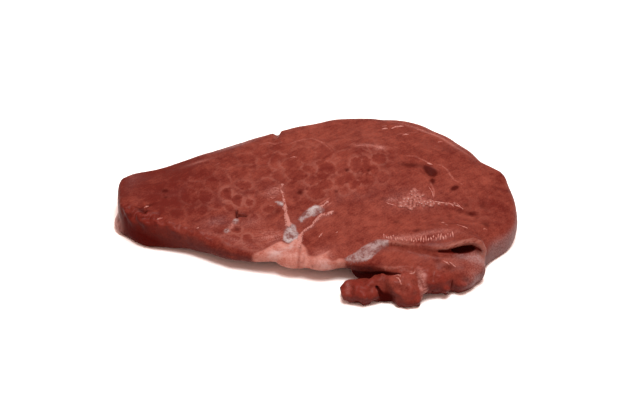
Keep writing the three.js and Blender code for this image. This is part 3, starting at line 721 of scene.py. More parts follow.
def lobulesAt(x, y):  # mm from the nearest lobule that shows by itself, and how dark that one is
    gaps = []
    for row in marks["lobules"]:
        u, v = turned(x, y, row[:2], row[4])
        gaps.append((np.hypot(u / row[2], v / row[3]) - 1) * row[3])
    strengths = np.array([row[5] for row in marks["lobules"]])
    return np.min(gaps, 0), strengths[np.argmin(gaps, 0)]


def skinMarks(x, y, z, up):  # what the skin is like at each point, for the relief and the material
    at = markDistances(x, y)
    flatNames = ("cells", "small", "dark", "pink", "rays", "glaze", "tone", "crumbs")
    solidNames = ("crumpled", "plain", "hollow", "pinkHighlight", "foldSinewAndSheen", "bloodAndShade", "foot", "sheen", "thin")
    flat = {name: hills(x, y, marks[name]) for name in flatNames}
    solid = {name: mounds(x, y, z, marks[name]) for name in solidNames}
    for name in ("small", "dark", "crumbs"):
        gain, loss = fades[name]
        flat[name] = smoothStep(flat[name] * gain - loss)
    top = rise(up, *fades["top"])
    torn = rise(y, *fades["tornFront"]) * rise(x, *fades["tornRight"])
    lipGap, tendonGap = (fromPath((x, y, z), roll) for roll in fold["rolls"])
    pocketGap = np.minimum(ellipsoid(x, y, z, *fold["pocket"]), fromPath((x, y, z), fold["slit"]))
    # the steep right end, laid with grey skin and a painted sheen
    end = rise(x, *fades["endRight"]) * rise(y, *fades["endFront"]) * rise(up, *fades["endSteep"])
    # painted shade on the wall behind the torn lobes, below a height that rises to the right, and in the
    # recesses between them
    wallGap = ellipsoid(x, y, z, *fold["lobes"][fold["wall"]])
    height, slope, middle, width = fades["wallTop"]
    hiddenShade = rise(wallGap, *fades["wall"]) * rise(x, *fades["wallRight"])
    hiddenShade = np.maximum(hiddenShade * rise(z, height + slope * (x - middle), width), solid["hollow"])
    lobuleGap, lobuleDark = lobulesAt(x, y)
    far = fades["far"]
    values = {
        "fat": np.maximum.reduce([at["fat"], fades["fatBottom"] - z, -fades["grooveShade"] - at["groove"]]),
        "cord": at["cord"],
        "film": np.where(up > fades["filmFacing"], at["film"], far),
        "vein": at["vein"] + fades["veinLoss"] * rise(up, *fades["veinSide"]),
        "cut": at["cut"],
        "cells": np.clip(flat["cells"], 0, 1) * top * rise(lobuleGap, *fades["offLobules"]),
        "small": flat["small"],
        "dark": flat["dark"] * top,
        "lobule": np.clip(lobuleGap, -far, far),
        "lobuleDark": lobuleDark,
        # painted shade in the clefts and on the wall behind the torn lobes
        "cleftShade": np.clip(near(fromPaths((x, y, z), fold["clefts"]), *fades["cleftShade"]) + hiddenShade, 0, 1),
        # painted shade in the slit under the lip and in its pocket
        "pocket": near(pocketGap, *fades["pocket"]),
        # pale tissue, streaks and grey skin, each with a painted sheen and glints
        "pink": np.clip(flat["pink"] * top + solid["pinkHighlight"], 0, 1),
        "rays": np.clip(flat["rays"] * streaksAt(x, y) * top, 0, 1),
        "glaze": np.clip(flat["glaze"] * top + solid["foldSinewAndSheen"] + fades["endSkinAndSheen"] * end, 0, 1),
        "tone": np.clip(flat["tone"], -1, 1),
        "crumbs": flat["crumbs"] * top,
        # painted shade, with darker flesh and blood, on the sides and under the rim
        "bloodAndShade": solid["bloodAndShade"],
        "foot": solid["foot"],
        "sheen": solid["sheen"],
        "cover": 1 - solid["thin"],
        "lip": near(lipGap, *fades["lip"]) * (pocketGap > fades["lipClear"]),
        "tendon": near(tendonGap, *fades["tendon"]),
        "torn": np.maximum(torn, solid["crumpled"]) * (1 - solid["plain"]),
        # painted shade on the sides as they face less up, partly their darker cut flesh
        "side": rise(up, *fades["side"]),
        "free": rise(z, *fades["free"]),
    }
    return {name: value.astype(np.float32) for name, value in values.items()}


def linked(name, data):  # an object for a mesh, a light or a camera
    made = bpy.data.objects.new(name, data)
    bpy.context.collection.objects.link(made)
    return made


def meshObject(name, points, edges=(), faces=()):
    mesh = bpy.data.meshes.new(name)
    mesh.from_pydata(points, edges, faces)
    return linked(name, mesh)


def setAttribute(mesh, name, values):
    mesh.attributes.new(name, "FLOAT", "POINT").data.foreach_set("value", values)


# What a rule of Geometry Nodes makes of an object, as a plain mesh. The rule gets the tree and its named
# inputs, which are as the values are: whole numbers, other numbers or an object.
def grown(name, source, rule, material, values):
    tree = bpy.data.node_groups.new(name, "GeometryNodeTree")
    tree.interface.new_socket("Geometry", in_out="INPUT", socket_type="NodeSocketGeometry")
    kinds = {int: "NodeSocketInt", float: "NodeSocketFloat"}
    for label, value in values.items():
        kind = kinds.get(type(value), "NodeSocketObject")
        tree.interface.new_socket(label, in_out="INPUT", socket_type=kind)
    tree.interface.new_socket("Geometry", in_out="OUTPUT", socket_type="NodeSocketGeometry")
    shape = rule(tree, add(tree, "NodeGroupInput").outputs)
    smooth = add(tree, "GeometryNodeSetShadeSmooth", {0: shape})
    real = add(tree, "GeometryNodeRealizeInstances", {0: smooth})
    add(tree, "NodeGroupOutput", {0: add(tree, "GeometryNodeSetMaterial", {0: real, "Material": material})})
    modifier = source.modifiers.new(name, "NODES")
    modifier.node_group = tree
    for item in tree.interface.items_tree:
        if item.in_out == "INPUT" and item.name in values:
            modifier[item.identifier] = values[item.name]
    graph = bpy.context.evaluated_depsgraph_get()
    mesh = bpy.data.meshes.new_from_object(source.evaluated_get(graph))
    bpy.data.objects.remove(source)
    print(name, "made:", len(mesh.polygons), "faces")
    return linked(name, mesh)


skin = {
    "paint": {
        # some of these colours are painted light: shade for the clefts, the slit, the sides and low places,
        # and pale sheen and glints
        "maroon": "#4a140e", "brick": "#6e3429", "line": "#77483f", "cellDark": "#4f1711",
        "dark": "#300604", "cleftShade": "#2c0604", "pocket": "#420d08", "side": "#310505", "torn": "#5d1d16",
        "vein": "#915b51", "pink": "#986961", "glaze": "#7a6261", "filmDark": "#5d3c39",
        "filmPale": "#959090", "cord": "#956961", "fatDark": "#7d4337", "fatPale": "#976a60",
        "lip": "#76493f", "tendon": "#855851", "crumb": "#6c322b", "bloodAndShade": "#370402", "foot": "#9b7d77",
    },
    "fibreStretch": 9 / 1.3,  # how much longer the fibres are than wide
    "fibreTurn": 40,
    "noises": {  # mm across, detail
        "grain": (0.9, 2.0), "mottle": (5, 4.0), "patches": (20, 3.0), "fibre": (1.3, 3.0),
    },
    "noiseRoughness": 0.6,
    "jitter": {  # mm that the marks' edges wander, by each noise
        "fat": {"mottle": 3.4, "grain": 3.4},
        "film": {"mottle": 3.4, "grain": 3.4},
        "cord": {"mottle": 4, "grain": 4},
        "vein": {"mottle": 1.8, "grain": 1.8},
        "cut": {"mottle": 0.6, "grain": 0.6},
        "lobule": {"mottle": 4, "patches": 2.5},
        "lineGap": {"mottle": 1.6},
        "middleGap": {"mottle": 3},
    },
    "ranges": {  # what is read, its ends, what they become
        "nearLine": ("lineGap", 0.2, lobules["lineWidth"], 1, 0),
        "midCell": ("middleGap", 1.6, 5.2, 1, 0),
        "inLobule": ("lobule", -2.4, 0.4, 1, 0),
        "offLobule": ("lobule", -0.1, 0.8, 0, 1),
        "byLobule": ("lobule", 0.8, 3, 1, 0),
        "streaks": ("fibre", 0.35, 0.62, 0.25, 1),
        "speck": ("grain", 0.4, 0.62, 0.4, 1),
        "broken": ("mottle", 0.4, 0.55, 0.3, 1),
        "fatEdge": ("fat", -1.6, 1, 1, 0),
        "filmEdge": ("film", -0.8, 0.8, 1, 0),
        "cordEdge": ("cord", -0.35, 0.45, 1, 0),
        "veinEdge": ("vein", -0.4, 0.5, 1, 0),
        "cutEdge": ("cut", -0.4, 0.4, 1, 0),
    },
    "blends": {  # the darker colour, the paler one, how much of it and what changes that
        "flesh": (
            "maroon", "brick", 0.45,
            {"tone": 0.42, "patches": 1.3, "mottle": 1, "grain": 1.1, "fibre": 0.8},
        ),
        "fat": ("fatDark", "fatPale", 0.58, {"mottle": 2.6, "grain": 1.6}),
        "film": ("filmDark", "filmPale", 0.42, {"mottle": 4, "grain": 0.9, "film": -0.02}),
    },
    "layers": [  # each laid over the last: the colour, the marks whose product says where, the share
        ("cellDark", "midCell cells", 0.5),
        ("line", "nearLine cells broken", 0.45),
        ("cellDark", "inLobule lobuleDark", 0.62),
        ("line", "offLobule byLobule broken lobuleDark", 0.5),
        ("torn", "torn broken", 0.8),
        # painted shade on the sides, partly their own darker cut flesh
        ("side", "side", 0.55),
        ("dark", "dark", 0.88),
        # painted shade, with darker flesh and blood, on the sides and under the rim
        ("bloodAndShade", "bloodAndShade", 0.8),
        ("crumb", "crumbs", 0.8),
        # pale tissue, the streaks by the fat and the grey thin skin, painted with their sheen and glints
        ("pink", "pink speck", 0.8),
        ("pink", "rays speck", 0.8),
        ("glaze", "glaze speck", 1),
        ("foot", "foot broken", 0.9),
        ("vein", "veinEdge broken", 0.5),
        # the rolled lip paler: partly its own skin, partly a painted highlight along its ridge
        ("lip", "lip streaks", 0.75),
        ("tendon", "tendon streaks", 1),
        ("film", "filmEdge cover", 0.85),
        ("fat", "fatEdge", 1),
        # the painted sheen on the fat
        ("filmPale", "sheen fatEdge broken", 0.6),
        ("cord", "cordEdge", 0.85),
        ("dark", "cutEdge", 0.85),
        # painted shade in the clefts and behind the torn lobes
        ("cleftShade", "cleftShade", 1),
        # painted shade in the slit under the lip
        ("pocket", "pocket", 1),
    ],
    "roughness": (0.5, {"mottle": 0.25, "grain": 0.2, "cleftShade": 0.3}),
    "specular": (0.09, {"dark": -0.06, "bloodAndShade": -0.08, "cleftShade": -0.08, "pocket": -0.08}),
    "coat": (0.04, {"dark": -0.04, "bloodAndShade": -0.03}),
    "bump": (0, {"grain": 0.5, "mottle": 0.5, "fibre": 0.4}),
    "bumpStrength": 0.35,
    "bumpHeight": 0.3,  # mm
    "ior": 1.36,
    "coatRoughness": 0.18,
    "coatIor": 1.34,
    "glow": 0.1,  # light that passes through the outermost flesh
    "glowColours": (1.0, 0.3, 0.2),
    "glowDepth": 1.5,
}


def newMaterial(name, rule):  # the rule gets the tree and the place, and gives what the shader is set to
    material = bpy.data.materials.new(name)
    material.use_nodes = True
    tree = material.node_tree
    tree.nodes.clear()
    place = add(tree, "ShaderNodeTexCoord").outputs["Object"]
    shader = add(tree, "ShaderNodeBsdfPrincipled", rule(tree, place))
    add(tree, "ShaderNodeOutputMaterial", {0: shader})
    print("material made:", name)
    return material


# Raw liver under its thin clear skin: brownish red, mottled, with pale lines between the lobules. The eye
# sees a moist, almost matt surface with small pale specks; its sheen and glints are painted in as pale
# colour, and its shade is painted into the sides, the clefts and the slit.
def wetLiver(tree, place):
    read = {}
    longer = (skin["fibreStretch"], 1, 1)
    turn = {"Vector": place, "Rotation": (0, 0, math.radians(skin["fibreTurn"])), "Scale": longer}
    places = {"fibre": add(tree, "ShaderNodeMapping", turn, vector_type="TEXTURE")}
    for name, (size, detail) in skin["noises"].items():
        inputs = {"Vector": places.get(name, place), "Scale": 1 / (size * mm), "Detail": detail}
        read[name] = add(tree, "ShaderNodeTexNoise", {**inputs, "Roughness": skin["noiseRoughness"]})

    def mark(name):  # a value that is read already, or else the skin's own attribute
        if name not in read:
            read[name] = add(tree, "ShaderNodeAttribute", attribute_name=name).outputs["Fac"]
        return read[name]

    def changed(value, terms):  # plus each term's share of what it is read as, a noise from its middle on
        for name, share in terms.items():
            middle = 0.5 if name in skin["noises"] else 0
            away = add(tree, "ShaderNodeMath", {0: mark(name), 1: middle}, operation="SUBTRACT")
            value = add(tree, "ShaderNodeMath", {0: away, 1: share, 2: value}, operation="MULTIPLY_ADD")
        return value

    read["lineGap"], read["middleGap"] = mixedGaps(tree, place, mark("small"))
    uneven = {name: changed(mark(name), terms) for name, terms in skin["jitter"].items()}
    for name, (source, low, high, atLow, atHigh) in skin["ranges"].items():
        value = uneven[source] if source in uneven else mark(source)
        inputs = {0: value, 1: low, 2: high, 3: atLow, 4: atHigh}
        read[name] = add(tree, "ShaderNodeMapRange", inputs, interpolation_type="SMOOTHSTEP")

    paint = {name: linear(code) for name, code in skin["paint"].items()}
    for name, (darker, paler, share, terms) in skin["blends"].items():
        ends = {0: changed(share, terms), 6: paint[darker], 7: paint[paler]}
        paint[name] = add(tree, "ShaderNodeMix", ends, data_type="RGBA").outputs[2]
    colour = paint["flesh"]
    for name, names, share in skin["layers"]:
        amount, *factors = [mark(factor) for factor in names.split()]
        for factor in [*factors, share]:
            amount = add(tree, "ShaderNodeMath", {0: amount, 1: factor}, operation="MULTIPLY")
        over = {0: amount, 6: colour, 7: paint[name]}
        colour = add(tree, "ShaderNodeMix", over, data_type="RGBA").outputs[2]

    bump = {"Strength": skin["bumpStrength"], "Distance": skin["bumpHeight"] * mm}
    return {
        "Base Color": colour,
        "Roughness": changed(*skin["roughness"]),
        "IOR": skin["ior"],
        "Specular IOR Level": changed(*skin["specular"]),
        "Coat Weight": changed(*skin["coat"]),
        "Coat Roughness": skin["coatRoughness"],
        "Coat IOR": skin["coatIor"],
        "Subsurface Weight": skin["glow"],
        "Subsurface Radius": skin["glowColours"],
        "Subsurface Scale": skin["glowDepth"] * mm,
        "Normal": add(tree, "ShaderNodeBump", {**bump, "Height": changed(*skin["bump"])}),
    }


shredFinish = {
    "wetSinewAndGlint": ("#793a32", "#96695f"),
    "tornCrumbs": ("#652f27", "#835249"),
    "mottleSize": 1.5,  # mm
    "mottleDetail": 3.0,
    "mottleRange": (0.35, 0.65),
    "roughness": 0.4,
    "ior": 1.38,
    "specular": 0.25,
    "coat": 0.08,
}


# Shreds of sinew and crumbs of torn flesh: pale pinkish, half clear and wet, so they catch small lights.
# Some sinew strings lie where the skin shows small glints, and there their pale colour is a painted
# highlight.
def wetShred(name):
    def rule(tree, place):
        scale = 1 / (shredFinish["mottleSize"] * mm)
        inputs = {"Vector": place, "Scale": scale, "Detail": shredFinish["mottleDetail"]}
        mottle = add(tree, "ShaderNodeTexNoise", inputs)
        low, high = shredFinish["mottleRange"]
        spread = add(tree, "ShaderNodeMapRange", {0: mottle, 1: low, 2: high})
        dark, pale = shredFinish[name]
        ends = {0: spread, 6: linear(dark), 7: linear(pale)}
        return {
            "Base Color": add(tree, "ShaderNodeMix", ends, data_type="RGBA").outputs[2],
            "Roughness": shredFinish["roughness"],
            "IOR": shredFinish["ior"],
            "Specular IOR Level": shredFinish["specular"],
            "Coat Weight": shredFinish["coat"],
        }

    return newMaterial(name, rule)


liverMaterial = newMaterial("wetLiver", wetLiver)
sinewAndGlintMaterial = wetShred("wetSinewAndGlint")
crumbMaterial = wetShred("tornCrumbs")

lowRelief = {
    "heights": {  # mm
        "Line height": lobules["lineHeight"], "Grain height": 0.25, "Torn height": 2.4, "Crumb height": 0.6,
    },
    "noises": [  # which height, mm across, the attribute that says where
        ("Grain height", 2.4, None), ("Torn height", 4.5, "torn"), ("Torn height", 8.0, "torn"),
        ("Crumb height", 2.2, "torn"),
    ],
    "detail": 2.0,
}


def skinRule(tree, given):  # the low relief of the lobules and the grain of the skin
    place = add(tree, "GeometryNodeInputPosition")
    read = {}
    for name in ("cells", "small", "torn", "free"):
        read[name] = add(tree, "GeometryNodeInputNamedAttribute", {"Name": name}, data_type="FLOAT")
    gap = mixedGaps(tree, place, read["small"])[0]
    ends = {0: gap, 1: 0.0, 2: given["Line width"], 3: 1.0, 4: 0.0}
    line = add(tree, "ShaderNodeMapRange", ends, interpolation_type="SMOOTHSTEP")
    parts = [(line, "Line height", "cells")]
    for height, size, where in lowRelief["noises"]:
        inputs = {"Vector": place, "Scale": 1 / (size * mm), "Detail": lowRelief["detail"]}
        noise = add(tree, "ShaderNodeTexNoise", inputs)
        parts.append((add(tree, "ShaderNodeMath", {0: noise, 1: 0.5}, operation="SUBTRACT"), height, where))
    total = 0.0
    for part, height, where in parts:
        part = add(tree, "ShaderNodeMath", {0: part, 1: given[height]}, operation="MULTIPLY")
        part = {0: part, 1: read.get(where, 1.0), 2: total}
        total = add(tree, "ShaderNodeMath", part, operation="MULTIPLY_ADD")
    held = add(tree, "ShaderNodeMath", {0: total, 1: read["free"]}, operation="MULTIPLY")
    normal = add(tree, "GeometryNodeInputNormal")
    push = add(tree, "ShaderNodeVectorMath", {0: normal, "Scale": held}, operation="SCALE")
    return add(tree, "GeometryNodeSetPosition", {"Geometry": given["Geometry"], "Offset": push})


def drawnSkin():  # the surface with its attributes, and fewer faces underneath
    made = meshObject("liverDrawn", ((netPoints + offset) * mm).tolist(), faces=netFaces.tolist())
    normals = np.zeros(len(netPoints) * 3, np.float32)
    made.data.vertices.foreach_get("normal", normals)
    for name, values in skinMarks(*netPoints.T, normals.reshape(-1, 3)[:, 2]).items():
        setAttribute(made.data, name, values)
    under = made.vertex_groups.new(name="under")
    under.add(np.flatnonzero(netPoints[:, 2] < grid["thinBelow"]).tolist(), 1, "REPLACE")
    thin = made.modifiers.new("thinUnderside", "DECIMATE")
    thin.ratio = grid["thinRatio"]
    thin.vertex_group = "under"
    return made


heights = {name: height * mm for name, height in lowRelief["heights"].items()}
skinPiece = grown(
    "liverSkin", drawnSkin(), skinRule, liverMaterial, {**heights, "Line width": lobules["lineWidth"]}
)

strings = {  # for the shreds and the feathers
    "height": 60,  # mm above the table from which the paths are dropped on the skin
    "rayLength": 200,
    "sides": 8,  # of a string's section
}


def laidOn(tree, curve, surface, sink, halfWidth):  # sweeps curves into strings that lie on a surface
    place = add(tree, "GeometryNodeInputPosition")
    target = add(tree, "GeometryNodeObjectInfo", {"Object": surface}).outputs["Geometry"]
    ray = {
        "Target Geometry": target, "Source Position": place, "Ray Direction": (0, 0, -1),
        "Ray Length": strings["rayLength"] * mm,
    }
    hit = add(tree, "GeometryNodeRaycast", ray).outputs
    depth = add(tree, "ShaderNodeVectorMath", {0: hit["Hit Normal"], "Scale": sink}, operation="SCALE")
    below = add(tree, "ShaderNodeVectorMath", {0: hit["Hit Position"], 1: depth}, operation="SUBTRACT")
    laid = add(tree, "GeometryNodeSetPosition", {"Geometry": curve, "Position": below})
    ring = add(tree, "GeometryNodeCurvePrimitiveCircle", {"Resolution": strings["sides"], "Radius": 1.0})
    sweep = {"Curve": laid, "Profile Curve": ring, "Scale": halfWidth, "Fill Caps": True}
    return add(tree, "GeometryNodeCurveToMesh", sweep)


def wireObject(name, paths):  # paths as a wire mesh, with their half widths as an attribute
    points = [inFrame((x, y, strings["height"])) for path in paths for x, y, _ in path]
    starts = np.cumsum([0] + [len(path) for path in paths])
    edges = [(s + k, s + k + 1) for s, path in zip(starts, paths) for k in range(len(path) - 1)]
    made = meshObject(name, points, edges=edges)
    setAttribute(made.data, "halfWidth", np.array([p[2] * mm for path in paths for p in path], np.float32))
    return made


shreds = {
    "step": 0.6,  # mm
    "wander": 1.0,
    "wanderSize": 2.5,
    "sink": 0.15,
    "leastWidth": 0.5,  # share of the half width where the noise is 0
    # x, y, half width; several lie where the skin shows small glints, as painted highlights
    "paths": [
        [(-29.6, 10.8, 0.1), (-26, 11.4, 0.3), (-23.4, 10.2, 0.3)],
        [(-33.6, 8.6, 0.1), (-30.4, 7.2, 0.25), (-27.6, 6.8, 0.1)],
        [(-29.6, 4.4, 0.1), (-27, 3.2, 0.45), (-25.4, 4, 0.1)],
        [(-27, 8.4, 0.1), (-25, 8.9, 0.4), (-23.4, 8.6, 0.3)],
        [(-31, -3.4, 0.1), (-28, -2.6, 0.2), (-25.6, -2.6, 0.1)],
        [(-12.4, 36.6, 0.15), (-14.9, 37.6, 0.45), (-17.4, 37.2, 0.15)],
        [(40.6, 66.2, 0.5), (42.4, 66.8, 0.9), (44, 67, 0.4)],
        [(46.4, 66.4, 0.4), (48.8, 68.2, 0.8), (52.6, 69.2, 0.8), (54.4, 69, 0.3)],
        [(40.6, 70, 0.15), (43.6, 71, 0.3)],
        [(53, 58, 0.3), (55.6, 59, 0.6), (57.6, 59.4, 0.2)],
        [(62.6, 65.8, 0.2), (64.6, 66.4, 0.5), (67, 66, 0.2)],
        [(75, 53.4, 0.3), (76.6, 54, 0.8), (78, 54.2, 0.3)],
        [(71.6, -26, 0.2), (73, -26.6, 0.6), (74.2, -27.4, 0.2)],
        [(73.2, -29.6, 0.15), (74.4, -32, 0.3), (75.4, -33.4, 0.1)],
        [(80, -30, 0.15), (81.6, -31.6, 0.35), (84, -33.6, 0.4), (86.6, -33.8, 0.3)],
        [(95.4, -27.6, 0.1), (97.6, -26.8, 0.3), (99.4, -26.2, 0.1)],
        [(0.2, -29.6, 0.15), (1.6, -27.8, 0.5), (2.6, -26, 0.2)],
        [(10.2, -27, 0.2), (11.4, -26.4, 0.5)],
        [(66.6, 27, 0.2), (68.4, 26.6, 0.7), (70, 26.2, 0.2)],
        [(39.6, -6.2, 0.1), (42, -8, 0.4), (46, -10, 0.3)],
        [(68, -4.6, 0.4), (74, -5.6, 0.5), (79, -6, 0.5), (84, -7.6, 0.3), (86.4, -8.6, 0.1)],
        [(77, -4.4, 0.15), (79.4, -6.4, 0.4), (80.4, -8, 0.2)],
        [(82, -4.6, 0.1), (83.8, -6.6, 0.4), (86, -8.8, 0.2)],
        [(62, 3.4, 0.1), (58, 2.4, 0.3), (54, -0.8, 0.2)],
        [(66.4, 7, 0.15), (68.4, 2, 0.35), (68.8, -2.6, 0.2)],
        [(-103.6, -5.8, 0.2), (-102, -5, 0.6), (-100.8, -4.4, 0.2)],
        [(-95, -16.6, 0.2), (-93.6, -15.8, 0.6), (-91.6, -15.6, 0.2)],
        [(-71.6, -22.6, 0.2), (-70.4, -21.6, 0.6)],
        [(43.6, -65.4, 0.2), (45, -66, 0.5), (45.8, -68, 0.45), (46.6, -70, 0.2)],
        [(42.8, -64, 0.2), (44.6, -63.4, 0.5), (46.2, -64.6, 0.5), (46, -66, 0.2)],
        [(51.4, -63, 0.2), (53, -62.4, 0.5), (54.6, -62, 0.3)],
        [(71, -53.4, 0.2), (73.4, -54.8, 0.45), (75, -55.8, 0.2)],
        [(74.4, -53.8, 0.15), (76.6, -55.2, 0.45), (78.2, -56.4, 0.2)],
    ],
}


def shredAndGlintRule(tree, given):  # thin strings that follow paths on the skin
    curve = add(tree, "GeometryNodeMeshToCurve", {0: given["Geometry"]})
    even = add(tree, "GeometryNodeResampleCurve", {"Curve": curve, "Length": given["Step"]}, mode="LENGTH")
    place = add(tree, "GeometryNodeInputPosition")
    inputs = {"Vector": place, "Scale": 1 / (shreds["wanderSize"] * mm), "Detail": 1.0}
    noise = add(tree, "ShaderNodeTexNoise", inputs)
    middle = {0: noise.outputs["Color"], 1: (0.5,) * 3}
    centred = add(tree, "ShaderNodeVectorMath", middle, operation="SUBTRACT")
    aside = add(tree, "ShaderNodeVectorMath", {0: centred, "Scale": given["Wander"]}, operation="SCALE")
    moved = add(tree, "GeometryNodeSetPosition", {"Geometry": even, "Offset": aside})
    width = add(tree, "GeometryNodeInputNamedAttribute", {"Name": "halfWidth"}, data_type="FLOAT")
    uneven = add(tree, "ShaderNodeMath", {0: noise, 1: shreds["leastWidth"]}, operation="ADD")
    half = add(tree, "ShaderNodeMath", {0: width, 1: uneven}, operation="MULTIPLY")
    return laidOn(tree, moved, given["Surface"], given["Sink"], half)


shredAndGlintPiece = grown(
    "shreds", wireObject("shredPaths", shreds["paths"]), shredAndGlintRule, sinewAndGlintMaterial,
    {
        "Surface": skinPiece, "Step": shreds["step"] * mm, "Wander": shreds["wander"] * mm,
        "Sink": shreds["sink"] * mm,
    },
)

feathers = {
    "count": 30,
    "length": 5.2,  # mm
    "halfWidth": 0.5,
    "tipWidth": 0.05,
    "sink": 0.1,
    "points": 7,  # along one feather
    "seed": 5,
    "chances": {"turn": (-0.3, 0.3), "size": (0.3, 1), "away": (-0.001, 0.001)},  # radians, share, m
    "path": [
        (38, -35, 0), (43, -36.2, 0), (49, -39.2, 0), (56, -42.2, 0), (64, -43.6, 0), (72, -43.4, 0),
        (77, -42.4, 0),
    ],
}


def featherRule(tree, given):  # short tapered shreds that stand side by side along the fold
    curve = add(tree, "GeometryNodeMeshToCurve", {0: given["Geometry"]})
    spots = add(tree, "GeometryNodeCurveToPoints", {"Curve": curve, "Count": given["Count"]}, mode="COUNT")
    stroke = add(tree, "GeometryNodeCurvePrimitiveLine", {"Start": (0, -0.5, 0), "End": (0, 0.5, 0)})
    inputs = {"Curve": stroke, "Count": feathers["points"]}
    fine = add(tree, "GeometryNodeResampleCurve", inputs, mode="COUNT")
    chance = {}
    for k, (name, (low, high)) in enumerate(feathers["chances"].items()):
        seed = add(tree, "ShaderNodeMath", {0: given["Seed"], 1: float(k)}, operation="ADD")
        made = add(tree, "FunctionNodeRandomValue", {2: low, 3: high, "Seed": seed}, data_type="FLOAT")
        chance[name] = made.outputs[1]
    angles = add(tree, "ShaderNodeCombineXYZ", {2: chance["turn"]})
    rotation = add(tree, "FunctionNodeEulerToRotation", {0: angles})
    length = add(tree, "ShaderNodeMath", {0: chance["size"], 1: given["Length"]}, operation="MULTIPLY")
    scale = add(tree, "ShaderNodeCombineXYZ", {0: length, 1: length, 2: length})
    row = {"Points": spots, "Instance": fine, "Rotation": rotation, "Scale": scale}
    placed = add(tree, "GeometryNodeInstanceOnPoints", row)
    shift = {0: placed, "Translation": add(tree, "ShaderNodeCombineXYZ", {1: chance["away"]})}
    moved = add(tree, "GeometryNodeTranslateInstances", {**shift, "Local Space": False})
    real = add(tree, "GeometryNodeRealizeInstances", {0: moved})
    share = add(tree, "GeometryNodeSplineParameter")
    half = add(tree, "ShaderNodeMath", {0: share, 1: math.pi}, operation="MULTIPLY")
    taper = add(tree, "ShaderNodeMath", {0: half}, operation="SINE")
    wide = {0: taper, 1: given["Half width"], 2: feathers["tipWidth"] * mm}
    width = add(tree, "ShaderNodeMath", wide, operation="MULTIPLY_ADD")
    return laidOn(tree, real, given["Surface"], feathers["sink"] * mm, width)


featherPiece = grown(
    "foldFeathers", wireObject("featherPath", [feathers["path"]]), featherRule, sinewAndGlintMaterial,
    {
        "Surface": skinPiece, "Count": feathers["count"], "Length": feathers["length"] * mm,
        "Half width": feathers["halfWidth"] * mm, "Seed": feathers["seed"],
    },
)

crumbs = {
    "size": 1.62,  # mm
    "spacing": 1.95,
    "density": 5,  # a square mm
    "seed": 11,
    "smallest": (0.7, 0.6, 0.35),  # shares of the size
    "largest": (1.4, 1.1, 0.6),
    "sizeSeed": 3,
    "spinSeed": 7,
}


def crumbRule(tree, given):  # crumbs of torn flesh, as many as the attribute says
    amount = add(tree, "GeometryNodeInputNamedAttribute", {"Name": "crumbs"}, data_type="FLOAT")
    inputs = {
        "Mesh": given["Geometry"], "Distance Min": given["Spacing"], "Density Max": given["Density"],
        "Density Factor": amount, "Seed": given["Seed"],
    }
    spots = add(tree, "GeometryNodeDistributePointsOnFaces", inputs, distribute_method="POISSON").outputs
    ball = add(tree, "GeometryNodeMeshIcoSphere", {"Radius": 1.0, "Subdivisions": 2})
    inputs = {0: crumbs["smallest"], 1: crumbs["largest"], "Seed": crumbs["sizeSeed"]}
    size = add(tree, "FunctionNodeRandomValue", inputs, data_type="FLOAT_VECTOR")
    scale = add(tree, "ShaderNodeVectorMath", {0: size, "Scale": given["Size"]}, operation="SCALE")
    inputs = {2: 0.0, 3: math.tau, "Seed": crumbs["spinSeed"]}
    spin = add(tree, "FunctionNodeRandomValue", inputs, data_type="FLOAT").outputs[1]
    local = add(tree, "FunctionNodeEulerToRotation", {0: add(tree, "ShaderNodeCombineXYZ", {2: spin})})
    inputs = {0: spots["Rotation"], 1: local}
    facing = add(tree, "FunctionNodeRotateRotation", inputs, rotation_space="LOCAL")
    inputs = {"Points": spots["Points"], "Instance": ball, "Rotation": facing, "Scale": scale}
    return add(tree, "GeometryNodeInstanceOnPoints", inputs)


crumbPiece = grown(
    "crumbs", linked("crumbGround", skinPiece.data.copy()), crumbRule, crumbMaterial,
    {
        "Size": crumbs["size"] * mm, "Spacing": crumbs["spacing"] * mm,
        "Density": crumbs["density"] / mm**2, "Seed": crumbs["seed"],
    },
)

for piece in (skinPiece, shredAndGlintPiece, featherPiece, crumbPiece):
    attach(piece, "root")
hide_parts("liver")

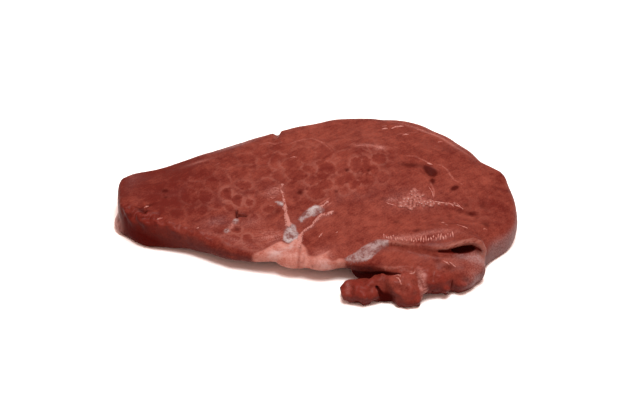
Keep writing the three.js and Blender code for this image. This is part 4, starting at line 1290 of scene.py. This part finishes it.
studio = {
    "target": (-3.6, 0, 16.4),  # mm in the drawing
    "distance": 900,
    "elevation": 36,
    "lens": 86.54,
    "sensor": 36,
    "softbox": (0.5, 0.45),  # m
    "softboxPlace": (0.1, -0.12, 0.95),
    "softboxPower": 15,
    "surroundings": 0.9,
    "surroundingsColour": "#ffcabc",
    "floorHalf": 3,  # m
    "floorColours": ("#f6f5f3", "#fbfaf8"),
    "floorNoise": 40.0,  # to a metre
    "floorRoughness": 0.8,
}


# Smooth white paper: matt, no grain to see.
def whitePaper(tree, place):
    noise = add(tree, "ShaderNodeTexNoise", {"Vector": place, "Scale": studio["floorNoise"]})
    dark, pale = studio["floorColours"]
    colour = add(tree, "ShaderNodeMix", {0: noise, 6: linear(dark), 7: linear(pale)}, data_type="RGBA")
    return {"Base Color": colour.outputs[2], "Roughness": studio["floorRoughness"]}


def studioScene():
    half = studio["floorHalf"]
    corners = [(-half, -half, 0), (half, -half, 0), (half, half, 0), (-half, half, 0)]
    floor = meshObject("floor", corners, faces=[(0, 1, 2, 3)])
    floor.data.materials.append(newMaterial("whitePaper", whitePaper))
    box = bpy.data.lights.new("softbox", "AREA")
    box.shape = "RECTANGLE"
    box.size, box.size_y = studio["softbox"]
    box.energy = studio["softboxPower"]
    light = linked("softbox", box)
    light.location = studio["softboxPlace"]
    light.rotation_euler = (-light.location).to_track_quat("-Z", "Y").to_euler()
    world = bpy.data.worlds.new("surroundings")
    world.use_nodes = True
    world.node_tree.nodes["Background"].inputs[0].default_value = linear(studio["surroundingsColour"])
    world.node_tree.nodes["Background"].inputs[1].default_value = studio["surroundings"]
    bpy.context.scene.world = world
    bpy.context.scene.view_settings.view_transform = "Standard"
    camera = linked("camera", bpy.data.cameras.new("camera"))
    camera.data.sensor_width = studio["sensor"]
    camera.data.lens = studio["lens"]
    tilt = math.radians(studio["elevation"])
    away = np.array([0, -math.cos(tilt), math.sin(tilt)]) * studio["distance"]
    camera.location = inFrame(np.array(studio["target"]) + away)
    camera.rotation_euler = (math.radians(90) - tilt, 0, 0)
    bpy.context.scene.camera = camera


studioScene()
print("studio set")
